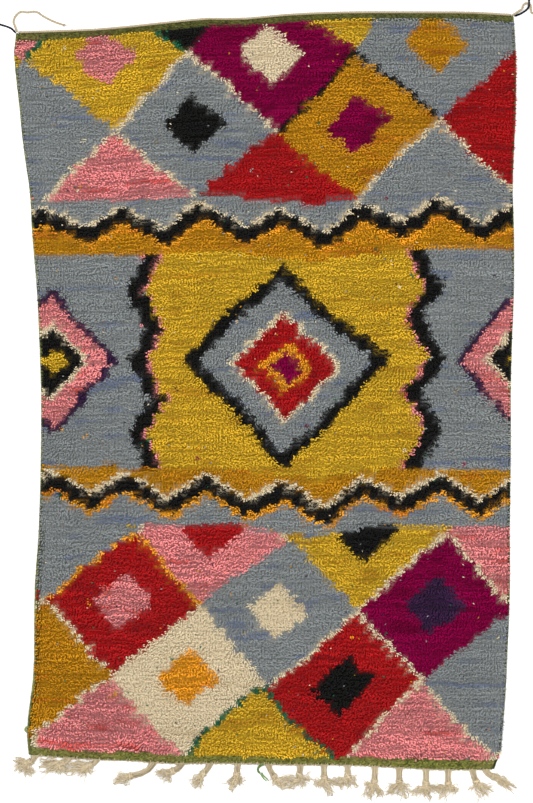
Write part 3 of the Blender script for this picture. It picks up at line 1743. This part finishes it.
@dataclass
class HeadingCord:
    """The ivory cord twined along the top end."""

    plan: RugPlan
    radius: float = 0.0026
    gap: float = 0.0003
    pitch: float = 0.0150
    steps: int = 8
    sides: int = 6
    fullness: float = 1.5
    groove: float = 0.22

    def build(self) -> bpy.types.Object:
        """Build the cord.

        Returns:
            The piece.
        """
        end = self.plan.high_end
        height = np.full(len(end), self.radius + FLOOR_CLEARANCE)
        line = np.stack([end[:, 0], end[:, 1] + self.radius + self.gap, height], axis=1)
        yarn = TwistedYarn(self.radius * self.fullness, self.pitch, self.steps, self.sides, self.groove)
        mesh = yarn.mesh("heading_twine", even(line, self.pitch / self.steps))
        return place_piece("heading_twine", mesh, CORD_YARN.material(), ("heading_cord",))


class TailRoute(NamedTuple):
    """One twisted tail at a corner: its node, its route on the floor and its yarn."""

    node: str
    slot: Slot
    radius: float
    points: tuple[tuple[float, float], ...]
    humped: bool = False


IVORY_RADIUS, DARK_RADIUS = 0.0027, 0.0023
TAILS = (
    TailRoute("tail_ivory_left", Slot.IVORY, IVORY_RADIUS, (
        (-0.8155, 1.1480), (-0.8186, 1.1530), (-0.8214, 1.1610), (-0.8262, 1.1718), (-0.8285, 1.1800),
        (-0.8246, 1.1942), (-0.8131, 1.2080), (-0.8010, 1.2128), (-0.7846, 1.2106), (-0.7651, 1.2128),
        (-0.7500, 1.2100), (-0.7344, 1.1990), (-0.7014, 1.1818), (-0.6701, 1.1709),
    )),
    TailRoute("tail_dark_left", Slot.DARK, DARK_RADIUS, (
        (-0.8208, 1.1438), (-0.8283, 1.1520), (-0.8362, 1.1590), (-0.8499, 1.1651), (-0.8704, 1.1712),
        (-0.8848, 1.1757),
    )),
    TailRoute("tail_ivory_right", Slot.IVORY, IVORY_RADIUS, (
        (0.7693, 1.2019), (0.7780, 1.2055), (0.7901, 1.2138), (0.8010, 1.2211), (0.8040, 1.2310),
        (0.8100, 1.2382), (0.8200, 1.2392), (0.8288, 1.2330), (0.8296, 1.2215), (0.8312, 1.2115),
        (0.8390, 1.2060), (0.8512, 1.2040),
    )),
    TailRoute("tail_dark_right", Slot.DARK, DARK_RADIUS, (
        (0.7764, 1.1983), (0.7850, 1.2012), (0.7968, 1.2060), (0.8106, 1.2146), (0.8190, 1.2222),
        (0.8228, 1.2310), (0.8237, 1.2480), (0.8237, 1.2624),
    ), humped=True),
)


@dataclass
class CornerTails:
    """The twisted yarn ends tied into the two top corners."""

    hump_x: float = 0.8232
    hump_y: float = 1.2380
    hump_reach: float = 0.015
    hump_rise: float = 2 * IVORY_RADIUS + 0.0007
    pitch: float = 0.0170
    ivory_fullness: float = 1.40
    dark_fullness: float = 1.48
    steps: int = 12
    ivory_strands: int = 8
    dark_strands: int = 12
    fray_radius: float = 0.0008
    fray_sides: int = 4
    fray_stations: int = 7
    fray_short: float = 0.010
    fray_long: float = 0.019
    fray_swing: float = 0.55
    fray_curl: float = 0.5
    curl_gain: float = 1.4
    fray_aside: float = 0.5
    fray_rise: float = 0.6
    fray_height: float = 0.0009
    seed: int = 41

    def line(self, tail: TailRoute) -> Array:
        """Lead a tail over the floor, with its hump.

        Args:
            tail: The tail.

        Returns:
            Its middle line.
        """
        height = tail.radius + FLOOR_CLEARANCE
        line = walk([(x, y, height) for x, y in tail.points], self.pitch / self.steps)
        if tail.humped:
            near = np.hypot(line[:, 0] - self.hump_x, line[:, 1] - self.hump_y) / self.hump_reach
            line[:, 2] += self.hump_rise * 0.5 * (1 + np.cos(math.pi * np.clip(near, 0.0, 1.0)))
        return line

    def fray(self, tail: TailRoute, line: Array, strands: int) -> bpy.types.Object:
        """Build the loosened strands at a tail's free end.

        Args:
            tail: The tail.
            line: Its middle line.
            strands: The number of strands.

        Returns:
            The piece.
        """
        rng = np.random.default_rng(self.seed + len(tail.node))
        heading = line[-1] - line[-6]
        swing = rng.uniform(-self.fray_swing, self.fray_swing, strands)
        angle = math.atan2(heading[1], heading[0]) + swing
        reach = rng.uniform(self.fray_short, self.fray_long, strands)
        share = np.linspace(0.0, 1.0, self.fray_stations)[None, :]
        curl = rng.uniform(-self.fray_curl, self.fray_curl, strands)[:, None] * share**2 * self.curl_gain
        aside = rng.uniform(-1, 1, strands) * tail.radius * self.fray_aside
        rise = rng.uniform(-self.fray_rise, self.fray_rise, strands) * tail.radius
        start = line[-4] + np.stack([aside, aside, rise], axis=1)
        x = start[:, 0, None] + np.cos(angle[:, None] + curl) * reach[:, None] * share
        y = start[:, 1, None] + np.sin(angle[:, None] + curl) * reach[:, None] * share
        z = lerp(start[:, 2, None], self.fray_height, share)
        copies = Copies()
        add_yarns(copies, np.stack([x, y, z], axis=-1), self.fray_radius, self.fray_sides, rng)
        name = tail.node.replace("tail", "fray")
        return place_piece(name, copies.mesh(name), self.finish(tail))

    def finish(self, tail: TailRoute) -> bpy.types.Material:
        """Return the material of a tail's yarn."""
        return (CORD_YARN if tail.slot is Slot.IVORY else NAVY_YARN).material()

    def build(self) -> None:
        for tail in TAILS:
            line = self.line(tail)
            name = tail.node.replace("tail", "yarn")
            dark = tail.slot is Slot.DARK
            fullness = self.dark_fullness if dark else self.ivory_fullness
            mesh = TwistedYarn(tail.radius * fullness, self.pitch, self.steps).mesh(name, line)
            piece = place_piece(name, mesh, self.finish(tail), (tail.node,))
            loose = self.fray(tail, line, self.dark_strands if dark else self.ivory_strands)


# The fringe


# How thin yarns vary: their size and bumps, their dye, and the shade below them.
YARN_THIN, YARN_FULL, YARN_BUMPS = 0.8, 1.2, 0.16
TIP_STATIONS = 3.0
YARN_TONE, POINT_TONE, STEM_SHADE = 0.17, 0.07, 0.36
YARN_STREAK, YARN_STREAK_SPREAD = 0.35, 0.25
UNDER_ROOT, TOP_ROOT, UNDER_SINE = 0.55, 0.45, -0.3


def add_yarns(copies: Copies, paths: Array, radius: float, sides: int,
              rng: np.random.Generator, taper: float = 0.45, dark_start: int = 0) -> None:
    """Add thin yarns along many lines at once.

    Args:
        copies: Where they are gathered.
        paths: The middle lines, as yarns by stations by 3.
        radius: The yarns' radius.
        sides: The number of their sides.
        rng: The random source.
        taper: The tip's radius as a share of the yarn's.
        dark_start: The number of stations at the start that are darker.
    """
    count, stations = paths.shape[:2]
    tube = UnitTube(stations, sides)
    size = radius * rng.uniform(YARN_THIN, YARN_FULL, (count, 1))
    bumps = 1 + YARN_BUMPS * rng.normal(0.0, 1.0, (count, stations))
    tips = np.clip((stations - 1 - np.arange(stations)) / TIP_STATIONS, 0.0, 1.0)
    profile = size * bumps * (taper + (1 - taper) * tips)[None]

    def reach(station: Array, angle: Array) -> Array:
        """Return the radius of each yarn at a station."""
        return np.take_along_axis(profile, np.broadcast_to(station, (count, station.shape[1])), axis=1)

    points = tube.along(paths, reach)
    points[..., 2] = np.maximum(points[..., 2], ON_FLOOR)
    tone = 0.5 + rng.normal(0.0, YARN_TONE, (count, 1))
    tone = tone + rng.normal(0.0, POINT_TONE, (count, points.shape[1]))
    tone = tone - STEM_SHADE * (tube.station < dark_start)[None]
    streak = np.clip(rng.normal(YARN_STREAK, YARN_STREAK_SPREAD, (count, 1)), 0.0, 1.0)
    root = UNDER_ROOT + TOP_ROOT * (np.sin(tube.angle)[None] > UNDER_SINE)
    copies.add(tube.form, points, tone=tone, streak=streak, root=root)


class Arm(NamedTuple):
    """One clump of yarns below a bundle's knot.

    turn is in degrees from straight down, positive to the right.
    """

    turn: float
    reach: float
    bulk: float


class Bundle(NamedTuple):
    """One knotted bundle. Angles are degrees from straight down, positive to the right."""

    root: float
    stem: float
    lean: float
    heading: float
    arms: tuple[Arm, ...]


BUNDLES = (
    Bundle(-0.760, 0.020, -45, -70, (Arm(-108, 0.046, 0.7), Arm(-80, 0.052, 1.3), Arm(-42, 0.046, 1.1),
           Arm(-4, 0.048, 0.9), Arm(44, 0.042, 1.0), Arm(-142, 0.040, 0.3))),
    Bundle(-0.653, 0.018, -58, -77, (Arm(-96, 0.070, 1.0), Arm(-86, 0.074, 1.8), Arm(-64, 0.054, 1.4),
           Arm(-22, 0.040, 0.9), Arm(26, 0.030, 0.6), Arm(72, 0.034, 0.9))),
    Bundle(-0.563, 0.018, -58, -75, (Arm(-97, 0.072, 1.0), Arm(-84, 0.082, 1.8), Arm(-58, 0.050, 1.2),
           Arm(-8, 0.034, 0.8), Arm(48, 0.026, 0.6))),
    Bundle(-0.381, 0.080, -77, -77, (Arm(-84, 0.044, 1.0), Arm(-60, 0.056, 1.1), Arm(-30, 0.028, 0.4))),
    Bundle(-0.291, 0.030, -62, -68, (Arm(-76, 0.054, 1.3), Arm(-48, 0.042, 0.6), Arm(-8, 0.030, 0.3))),
    Bundle(-0.200, 0.032, -42, -46, (Arm(-44, 0.050, 1.6), Arm(-20, 0.048, 0.4), Arm(0, 0.042, 0.4))),
    Bundle(-0.110, 0.024, -6, -10, (Arm(-34, 0.052, 1.2), Arm(-12, 0.058, 0.3), Arm(4, 0.036, 1.5),
           Arm(68, 0.032, 0.3))),
    Bundle(-0.010, 0.034, 32, 30, (Arm(72, 0.066, 1.8), Arm(38, 0.050, 0.8), Arm(-10, 0.034, 0.3),
           Arm(-34, 0.030, 0.3))),
    Bundle(0.090, 0.024, -5, -2, (Arm(-86, 0.060, 1.5), Arm(-40, 0.060, 1.0), Arm(-6, 0.042, 0.6),
           Arm(66, 0.040, 0.6), Arm(98, 0.040, 0.5))),
    Bundle(0.167, 0.030, 2, 2, (Arm(-68, 0.040, 1.3), Arm(-30, 0.040, 0.5), Arm(12, 0.062, 1.4),
           Arm(60, 0.050, 0.8), Arm(88, 0.048, 0.5))),
    Bundle(0.243, 0.026, 0, 0, (Arm(-84, 0.042, 0.7), Arm(-46, 0.046, 1.3), Arm(6, 0.046, 0.3),
           Arm(62, 0.042, 1.0), Arm(114, 0.030, 0.5))),
    Bundle(0.330, 0.038, -2, -2, (Arm(-98, 0.038, 0.6), Arm(-52, 0.044, 0.5), Arm(-22, 0.062, 1.5),
           Arm(10, 0.052, 0.8), Arm(40, 0.058, 1.1))),
    Bundle(0.408, 0.034, 0, 1, (Arm(-92, 0.036, 0.3), Arm(-58, 0.058, 1.6), Arm(18, 0.056, 1.4),
           Arm(58, 0.038, 0.6))),
    Bundle(0.494, 0.036, 0, -3, (Arm(-64, 0.058, 1.5), Arm(-12, 0.040, 1.3), Arm(24, 0.056, 0.8),
           Arm(86, 0.056, 1.1))),
    Bundle(0.565, 0.034, 0, 3, (Arm(-76, 0.052, 1.3), Arm(-28, 0.060, 0.7), Arm(54, 0.036, 1.4))),
    Bundle(0.644, 0.030, 20, 26, (Arm(-66, 0.038, 0.3), Arm(38, 0.066, 1.5), Arm(66, 0.060, 1.0))),
    Bundle(0.686, 0.026, 60, 72, (Arm(74, 0.080, 1.6), Arm(56, 0.062, 0.7), Arm(14, 0.044, 0.9))),
)


def heading_vector(degrees: Array) -> Array:
    """Return plan directions at angles from straight down."""
    angle = np.radians(degrees)
    return np.stack([np.sin(angle), -np.cos(angle)], axis=-1)


@dataclass
class KnottedFringe:
    """Warp ends gathered into knotted bundles that fray into crinkled clumps."""

    plan: RugPlan
    yarn_radius: float = 0.00135
    ground_gap: float = 0.0002
    arm_gap: float = 0.0003
    yarns_per_bulk: float = 9.5
    strip: float = 0.004
    root_half: float = 0.0130
    stem_half: float = 0.0084
    stem_height: float = 0.0056
    knot_length: float = 0.012
    knot_half: float = 0.0108
    knot_height: float = 0.0080
    arm_half: float = 0.0088
    arm_height: float = 0.0056
    arm_stations: int = 10
    crinkle: float = 0.0032
    stub_pitch: float = 0.0046
    tick_pitch: float = 0.0032
    tick_start: float = -0.262
    tick_stop: float = 0.218
    tick_thick: float = 0.90
    tick_thin: float = 0.36
    tuck: float = 0.0015
    strip_share: float = 0.6
    lean_share: float = 0.3
    lean_start: float = 0.15
    foot_half: float = 0.0105
    root_height: float = 0.0022
    foot_height: float = 0.0040
    knot_waist: float = 0.96
    scatter: float = 0.10
    weave: float = 0.35
    weave_growth: tuple[float, ...] = (0.0, 0.1, 0.3, 0.6, 0.9, 1.3, 1.0, 0.3)
    roundness: float = 0.85
    unevenness: float = 0.0004
    arm_turn_share: float = 0.32
    arm_bow: float = 16.0
    arm_scatter: float = 0.25
    arm_fade: float = 0.35
    flare: float = 0.35
    flare_start: float = 0.7
    flare_reach: float = 0.3
    flare_middle: float = 0.3
    flare_spread: float = 0.8
    stray_share: float = 0.16
    stray_far: float = 0.012
    stray_near: float = 0.003
    shortest_cut: float = 0.5
    cut_power: float = 1.4
    arm_crown: float = 1.15
    arm_slope: float = 0.75
    lift_share: float = 0.9
    wrap_turns: int = 4
    wrap_stations: int = 10
    wrap_under: float = 0.6
    wrap_radius: float = 0.0013
    wrap_start: float = 0.15
    wrap_slant: float = 0.5
    wrap_tight: float = 0.85
    wrap_scatter: float = 0.0006
    wrap_foot: float = 0.0012
    wrap_dip: float = -0.1
    wrap_lift: float = 0.0006
    wave_speeds: Span = (6.0, 15.0)
    wave_sizes: Span = (0.5, 1.7)
    wave_start: int = 3
    hair_count: int = 12
    hair_stations: int = 7
    hair_radius: float = 0.0005
    hair_first: int = 3
    hair_scatter: float = 0.005
    hair_swing: float = 60.0
    hair_curl: float = 80.0
    hair_lengths: Span = (0.012, 0.040)
    hair_heights: Span = (0.002, 0.007)
    hair_foot: float = 0.0008
    hair_drop: float = 0.7
    stub_radius: float = 0.0011
    stub_inset: float = 0.004
    stub_shift: float = 0.001
    stub_share: float = 0.80
    stub_pull: float = 0.25
    stub_reach: float = 0.006
    stub_scatter: float = 0.0014
    stub_stations: int = 6
    stub_depths: Span = (0.0006, 0.0036)
    stub_bend: float = 1.5
    stub_tuck: float = 0.0022
    stub_turn: float = 2.2
    stub_top: float = 0.0042
    stub_fall: float = 0.0028
    stub_uneven: float = 0.0003
    tick_radius: float = 0.0012
    tick_inset: float = 0.01
    tick_stations: int = 5
    tick_rises: Span = (0.003, 0.010)
    tick_slant: float = 0.0025
    tick_spread: float = 0.0022
    tick_tuck: float = 0.0012
    tick_foot: float = 0.0036
    tick_crown: float = 0.0026
    tick_climb: float = 3.0
    dark_stations: int = 7
    seed: int = 53
    rng: np.random.Generator = field(init=False)

    def __post_init__(self) -> None:
        """Start the random source."""
        self.rng = np.random.default_rng(self.seed)

    def spine(self, bundle: Bundle) -> tuple[Array, Array]:
        """Return the middle line from the cloth's edge to the end of the knot.

        Args:
            bundle: The bundle.

        Returns:
            The points of the line, and the heading at each in degrees.
        """
        place = np.array([bundle.root, float(self.plan.low(bundle.root))])
        line, turns = [place + (0.0, self.tuck)], [0.0]
        place = place - (0.0, self.strip * self.strip_share)
        line.append(place)
        turns.append(bundle.lean * self.lean_share)
        for share in (1 / 3, 2 / 3, 1.0):
            angle = bundle.lean * min(1.0, self.lean_start + share)
            place = place + heading_vector(angle) * bundle.stem / 3
            line.append(place)
            turns.append(angle)
        for _ in range(3):
            place = place + heading_vector(bundle.heading) * self.knot_length / 3
            line.append(place)
            turns.append(bundle.heading)
        return np.array(line), np.array(turns)

    def bundle_paths(self, bundle: Bundle) -> Array:
        """Lead every yarn of a bundle from the cloth through the knot to its tip.

        Args:
            bundle: The bundle.

        Returns:
            The middle lines, as yarns by stations by 3.
        """
        line, turns = self.spine(bundle)
        counts = [max(4, round(arm.bulk * self.yarns_per_bulk)) for arm in bundle.arms]
        count = sum(counts)
        halves = np.array([self.root_half, self.foot_half] + [self.stem_half] * 3
                          + [self.knot_half, self.knot_half * self.knot_waist, self.stem_half])
        heights = np.array([self.root_height, self.foot_height] + [self.stem_height] * 3
                           + [self.knot_height, self.knot_height, self.stem_height])
        aside = np.linspace(-1.0, 1.0, count) + self.rng.normal(0.0, self.scatter, count)
        weave = self.rng.normal(0.0, self.weave, (count, 1)) * np.array(self.weave_growth)
        aside = np.clip(aside[:, None] + weave, -1.0, 1.0)
        level = self.rng.uniform(0.0, 1.0, (count, 1)) * np.sqrt(1 - self.roundness * aside**2)
        plan = line[None] + heading_vector(turns + 90)[None] * (aside * halves)[..., None]
        plan += self.rng.normal(0.0, self.unevenness, plan.shape)
        height = self.yarn_radius + self.ground_gap + heights * level
        stem = np.concatenate([plan, height[..., None]], axis=2)
        arms, first = [], 0
        for arm, size in zip(bundle.arms, counts):
            arms.append(self.arm_paths(bundle, arm, stem[first:first + size, -1]))
            first += size
        return np.concatenate([stem, np.concatenate(arms)], axis=1)

    def arm_paths(self, bundle: Bundle, arm: Arm, start: Array) -> Array:
        """Lead one clump of yarns away from the knot.

        Args:
            bundle: The bundle.
            arm: The clump.
            start: Where each of its yarns leaves the knot.

        Returns:
            The middle lines past the knot, as yarns by stations by 3.
        """
        count = len(start)
        share = np.linspace(0.0, 1.0, self.arm_stations + 1)[1:]
        turned = np.clip(share / self.arm_turn_share, 0.0, 1.0)
        bow = self.rng.uniform(-self.arm_bow, self.arm_bow) * np.sin(share * math.pi)
        angle = lerp(bundle.heading, arm.turn, turned * turned * (3 - 2 * turned)) + bow
        steps = heading_vector(angle) * arm.reach / self.arm_stations
        middle = start[:, :2].mean(axis=0) + np.cumsum(steps, axis=0)
        spread = self.arm_half * math.sqrt(arm.bulk)
        aside = np.linspace(-1.0, 1.0, count) + self.rng.normal(0.0, self.arm_scatter, count)
        own = (start[:, :2] - start[:, :2].mean(axis=0)) @ heading_vector(bundle.heading + 90)
        fade = np.clip(share / self.arm_fade, 0.0, 1.0)[None]
        opened = self.flare * np.clip(share - self.flare_start, 0.0, 1.0) / self.flare_reach
        flare = 1 + opened * self.rng.normal(self.flare_middle, self.flare_spread, (count, 1))
        offset = lerp(own[:, None], aside[:, None] * spread * flare, fade)
        far = self.rng.random((count, 1)) < self.stray_share
        stray = np.where(far, self.stray_far, self.stray_near) * self.rng.normal(0.0, 1.0, (count, 1))
        offset += self.waves(count, share) + stray * share**2
        length = 1 - self.rng.uniform(0.0, self.shortest_cut, (count, 1)) ** self.cut_power
        at = share[None] * length
        centre = np.stack([np.interp(at, share, middle[:, k]) for k in range(2)], axis=-1)
        across = heading_vector(np.interp(at, share, angle) + 90)
        plan = centre + across * offset[..., None]
        crown = self.arm_crown - self.arm_slope * share
        high = self.rng.uniform(0.0, 1.0, (count, 1)) * self.arm_height * crown
        lift = np.abs(self.waves(count, share)) * self.lift_share
        height = lerp(start[:, 2:3], self.yarn_radius + self.arm_gap + high, fade) + lift
        return np.concatenate([plan, height[..., None]], axis=2)

    def waves(self, count: int, share: Array) -> Array:
        """Work out the crinkle of yarns along an arm.

        Args:
            count: The number of yarns.
            share: The shares of the arm's length.

        Returns:
            How far each yarn lies aside, as yarns by shares.
        """
        speed = self.rng.uniform(*self.wave_speeds, (count, 1))
        phase = self.rng.uniform(0.0, 2 * math.pi, (count, 1))
        size = self.crinkle * self.rng.uniform(*self.wave_sizes, (count, 1))
        return size * np.sin(speed * share[None] + phase) * np.clip(share * self.wave_start, 0.0, 1.0)

    def wraps(self, bundle: Bundle) -> Array:
        """Lead the turns of yarn that tie a bundle.

        Args:
            bundle: The bundle.

        Returns:
            The middle lines, as turns by stations by 3.
        """
        line, _ = self.spine(bundle)
        turns = self.wrap_turns
        angle = np.linspace(-self.wrap_under, math.pi + self.wrap_under, self.wrap_stations)[None]
        along = np.linspace(self.wrap_start, 1 - self.wrap_start, turns)[:, None]
        slant = self.rng.normal(0.0, self.wrap_slant, (turns, 1))
        centre = line[-4][None] + (line[-1] - line[-4])[None] * along
        forward = heading_vector(bundle.heading)
        across = heading_vector(bundle.heading + 90)
        half = self.knot_half * self.rng.uniform(self.wrap_tight, 1.0, (turns, 1))
        aside = np.cos(angle) * half
        plan = centre[:, None] + across * aside[..., None] + forward * (slant * aside)[..., None]
        plan += self.rng.normal(0.0, self.wrap_scatter, plan.shape)
        arch = np.maximum(np.sin(angle), self.wrap_dip) * (self.knot_height + self.wrap_lift)
        height = self.wrap_foot + arch
        return np.concatenate([plan, np.broadcast_to(height, aside.shape)[..., None]], axis=2)

    def stubs(self) -> Array:
        """Lead the short warp loops that turn back into the cloth's edge.

        Returns:
            The middle lines, as loops by stations by 3.
        """
        end = self.plan.low_end[:, 0]
        x = np.arange(end.min() + self.stub_inset, end.max() - self.stub_inset, self.stub_pitch)
        x = x + self.rng.uniform(-self.stub_shift, self.stub_shift, len(x))
        x = x[self.rng.random(len(x)) < self.stub_share]
        nearest = np.array([bundle.root for bundle in BUNDLES])
        pull = nearest[np.argmin(np.abs(x[:, None] - nearest[None]), axis=1)] - x
        side = np.clip(pull * self.stub_pull, -self.stub_reach, self.stub_reach)
        side = side + self.rng.normal(0.0, self.stub_scatter, len(x))
        share = np.linspace(0.0, 1.0, self.stub_stations)[None]
        depth = self.rng.uniform(*self.stub_depths, len(x))[:, None]
        px = x[:, None] + side[:, None] * share**self.stub_bend
        out = (self.stub_tuck + depth) * np.sin(share * self.stub_turn)
        py = self.plan.low(x)[:, None] + self.stub_tuck - out
        uneven = self.rng.uniform(-self.stub_uneven, self.stub_uneven, len(x))[:, None]
        pz = self.stub_top - self.stub_fall * share + uneven
        return np.stack([px, py, pz], axis=-1)

    def ticks(self) -> Array:
        """Lead the slanting warp ends that lie over the bottom band's edge.

        Returns:
            The middle lines, as ends by stations by 3.
        """
        end = self.plan.low_end[:, 0]
        x = np.arange(end.min() + self.tick_inset, end.max() - self.tick_inset, self.tick_pitch)
        busy = (x > self.tick_start) & (x < self.tick_stop)
        x = x[self.rng.random(len(x)) < np.where(busy, self.tick_thick, self.tick_thin)]
        share = np.linspace(0.0, 1.0, self.tick_stations)[None]
        rise = self.rng.uniform(*self.tick_rises, len(x))[:, None]
        side = self.rng.normal(self.tick_slant, self.tick_spread, len(x))[:, None]
        px = x[:, None] + side * share
        py = self.plan.low(x)[:, None] - self.tick_tuck + rise * share
        climb = np.clip(share * self.tick_climb, 0.0, 1.0)
        pz = self.tick_foot + self.tick_crown * np.sin(climb * math.pi / 2)
        return np.stack([px, py, np.broadcast_to(pz, px.shape)], axis=-1)

    def hairs(self, bundle: Bundle) -> Array:
        """Lead the thin stray fibres round a bundle.

        Args:
            bundle: The bundle.

        Returns:
            The middle lines, as fibres by stations by 3.
        """
        line, _ = self.spine(bundle)
        count = self.hair_count
        start = line[self.rng.integers(self.hair_first, len(line), count)]
        start = start + self.rng.normal(0.0, self.hair_scatter, start.shape)
        angle = bundle.heading + self.rng.normal(0.0, self.hair_swing, count)
        share = np.linspace(0.0, 1.0, self.hair_stations)[None]
        curl = self.rng.normal(0.0, self.hair_curl, count)[:, None] * share
        stride = self.rng.uniform(*self.hair_lengths, count) / (self.hair_stations - 1)
        steps = heading_vector(angle[:, None] + curl) * stride[:, None, None]
        plan = start[:, None] + np.cumsum(steps, axis=1)
        top = self.rng.uniform(*self.hair_heights, (count, 1))
        height = lerp(top, self.hair_foot, share**self.hair_drop)
        return np.concatenate([plan, height[..., None]], axis=2)

    def build(self) -> list[bpy.types.Object]:
        """Build the fringe.

        Returns:
            The pieces.
        """
        yarns, loops = Copies(), Copies()
        for bundle in BUNDLES:
            add_yarns(yarns, self.bundle_paths(bundle), self.yarn_radius, 3, self.rng, taper=0.7,
                      dark_start=self.dark_stations)
            add_yarns(yarns, self.wraps(bundle), self.wrap_radius, 4, self.rng, taper=0.9)
            add_yarns(loops, self.hairs(bundle), self.hair_radius, 3, self.rng)
        add_yarns(loops, self.stubs(), self.stub_radius, 4, self.rng, taper=0.7)
        add_yarns(loops, self.ticks(), self.tick_radius, 3, self.rng, taper=0.6)
        material = IVORY_YARN.material()
        knotted = place_piece("fringe_bundles", yarns.mesh("fringe_bundles"), material,
                              ("fringe",))
        loose = place_piece("fringe_loose_warps", loops.mesh("fringe_loose_warps"), material)
        return [knotted, loose]


# Loose green ends of the overcasting yarn, as points on the floor or the cloth.
GREEN_ENDS = (
    ((-0.7790, -1.0800, 0.005), (-0.7868, -1.0812, 0.005), (-0.7908, -1.0862, 0.004),
     (-0.7896, -1.0920, 0.004), (-0.7842, -1.0952, 0.005), (-0.7790, -1.0930, 0.006)),
    ((-0.0280, -1.1990, 0.006), (-0.0380, -1.2050, 0.005), (-0.0448, -1.2130, 0.002),
     (-0.0440, -1.2220, 0.002), (-0.0380, -1.2290, 0.003)),
    ((-0.0370, -1.2300, 0.003), (-0.0320, -1.2380, 0.002), (-0.0250, -1.2470, 0.002),
     (-0.0170, -1.2540, 0.002)),
    ((-0.0330, -1.2260, 0.004), (-0.0270, -1.2360, 0.003), (-0.0190, -1.2430, 0.002),
     (-0.0110, -1.2520, 0.002)),
)
LOOSE_RADII = (0.0034, 0.0018)
LOOSE_STEP, LOOSE_SIDES, LOOSE_TAPER, LOOSE_SEED = 0.002, 6, 0.6, 71


def loose_green_ends() -> list[bpy.types.Object]:
    """Build the loose ends of green yarn at the left side and in the fringe.

    Returns:
        The loop at the side and the ends in the fringe.
    """
    rng = np.random.default_rng(LOOSE_SEED)
    pieces = []
    for name, routes, finish in (("loose_side_loop", GREEN_ENDS[:1], LOOP_YARN),
                                 ("loose_green_ends", GREEN_ENDS[1:], LOOSE_GREEN_YARN)):
        copies = Copies()
        for number, route in enumerate(routes):
            radius = LOOSE_RADII[min(number, 1)]
            path = walk(list(route), LOOSE_STEP)[None]
            add_yarns(copies, path, radius, LOOSE_SIDES, rng, taper=LOOSE_TAPER)
        pieces.append(place_piece(name, copies.mesh(name), finish.material()))
    return pieces


# The studio


@dataclass
class Studio:
    """Camera, floor and soft light."""

    centre_x: float = -0.0176
    centre_y: float = -0.0368
    camera_height: float = 8.0
    sensor: float = 36.0
    floor_size: float = 40.0
    key_place: tuple[float, float, float] = (-2.2, 2.6, 4.8)
    key_size: float = 3.2
    key_power: float = 175.0
    fill_place: tuple[float, float, float] = (2.4, -1.4, 4.8)
    fill_size: float = 3.6
    fill_power: float = 135.0
    room_light: float = 0.95

    def build(self) -> None:
        """Set up the camera, the floor and the lights."""
        self.add_camera()
        self.add_floor()
        self.add_light("key", self.key_place, self.key_size, self.key_power)
        self.add_light("fill", self.fill_place, self.fill_size, self.fill_power)
        self.light_room()

    def add_camera(self) -> None:
        """Look straight down on the rug through a long lens."""
        data = bpy.data.cameras.new("camera")
        data.sensor_width = self.sensor
        reach = self.camera_height - PILE_HEIGHT
        data.lens = self.sensor * reach / (FRAME_HEIGHT * METRES_PER_PIXEL)
        camera = bpy.data.objects.new("camera", data)
        camera.location = (self.centre_x, self.centre_y, self.camera_height)
        bpy.context.scene.collection.objects.link(camera)
        bpy.context.scene.camera = camera

    def add_floor(self) -> None:
        """Lay a plain pale floor that isn't part of the rug."""
        bm = bmesh.new()
        bmesh.ops.create_grid(bm, x_segments=1, y_segments=1, size=self.floor_size / 2)
        mesh = bpy.data.meshes.new("floor")
        bm.to_mesh(mesh)
        bm.free()
        mesh.materials.append(FloorFinish().material())
        floor = bpy.data.objects.new("floor", mesh)
        bpy.context.scene.collection.objects.link(floor)

    def add_light(self, name: str, place: tuple[float, float, float], size: float,
                  power: float) -> None:
        """Hang a square soft light that faces the middle of the rug.

        Args:
            name: The light's name.
            place: Where it hangs.
            size: The length of its sides.
            power: Its power in watts.
        """
        data = bpy.data.lights.new(name, "AREA")
        data.size = size
        data.energy = power
        lamp = bpy.data.objects.new(name, data)
        lamp.location = place
        lamp.rotation_euler = (-Vector(place)).to_track_quat("-Z", "Y").to_euler()
        bpy.context.scene.collection.objects.link(lamp)

    def light_room(self) -> None:
        """Fill the room with even white light and show colours as they are."""
        world = bpy.data.worlds.new("room")
        world.use_nodes = True
        sky = world.node_tree.nodes["Background"]
        sky.inputs["Color"].default_value = (1.0, 1.0, 1.0, 1.0)
        sky.inputs["Strength"].default_value = self.room_light
        bpy.context.scene.world = world
        bpy.context.scene.view_settings.view_transform = "Standard"


def main() -> None:
    """Build the rug from its camera to its last loose yarn."""
    logging.basicConfig(level=logging.INFO, format="%(message)s")
    Studio().build()
    CornerTails().build()
    plan = RugPlan(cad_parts["rug_body"])
    chart = FieldPattern().chart()
    foundation = Foundation(plan, chart).build()
    carried = Pile(plan, chart).build()
    carried.append(WovenBand(plan, "woven_end_bottom", False).build())
    carried.append(WovenBand(plan, "woven_end_top", True).build())
    carried.append(OvercastEdge(plan, "overcast_left", -1).build())
    carried.append(OvercastEdge(plan, "overcast_right", 1).build())
    carried.append(HeadingCord(plan).build())
    carried += KnottedFringe(plan).build()
    carried.extend(loose_green_ends())


if __name__ == "__main__":
    main()
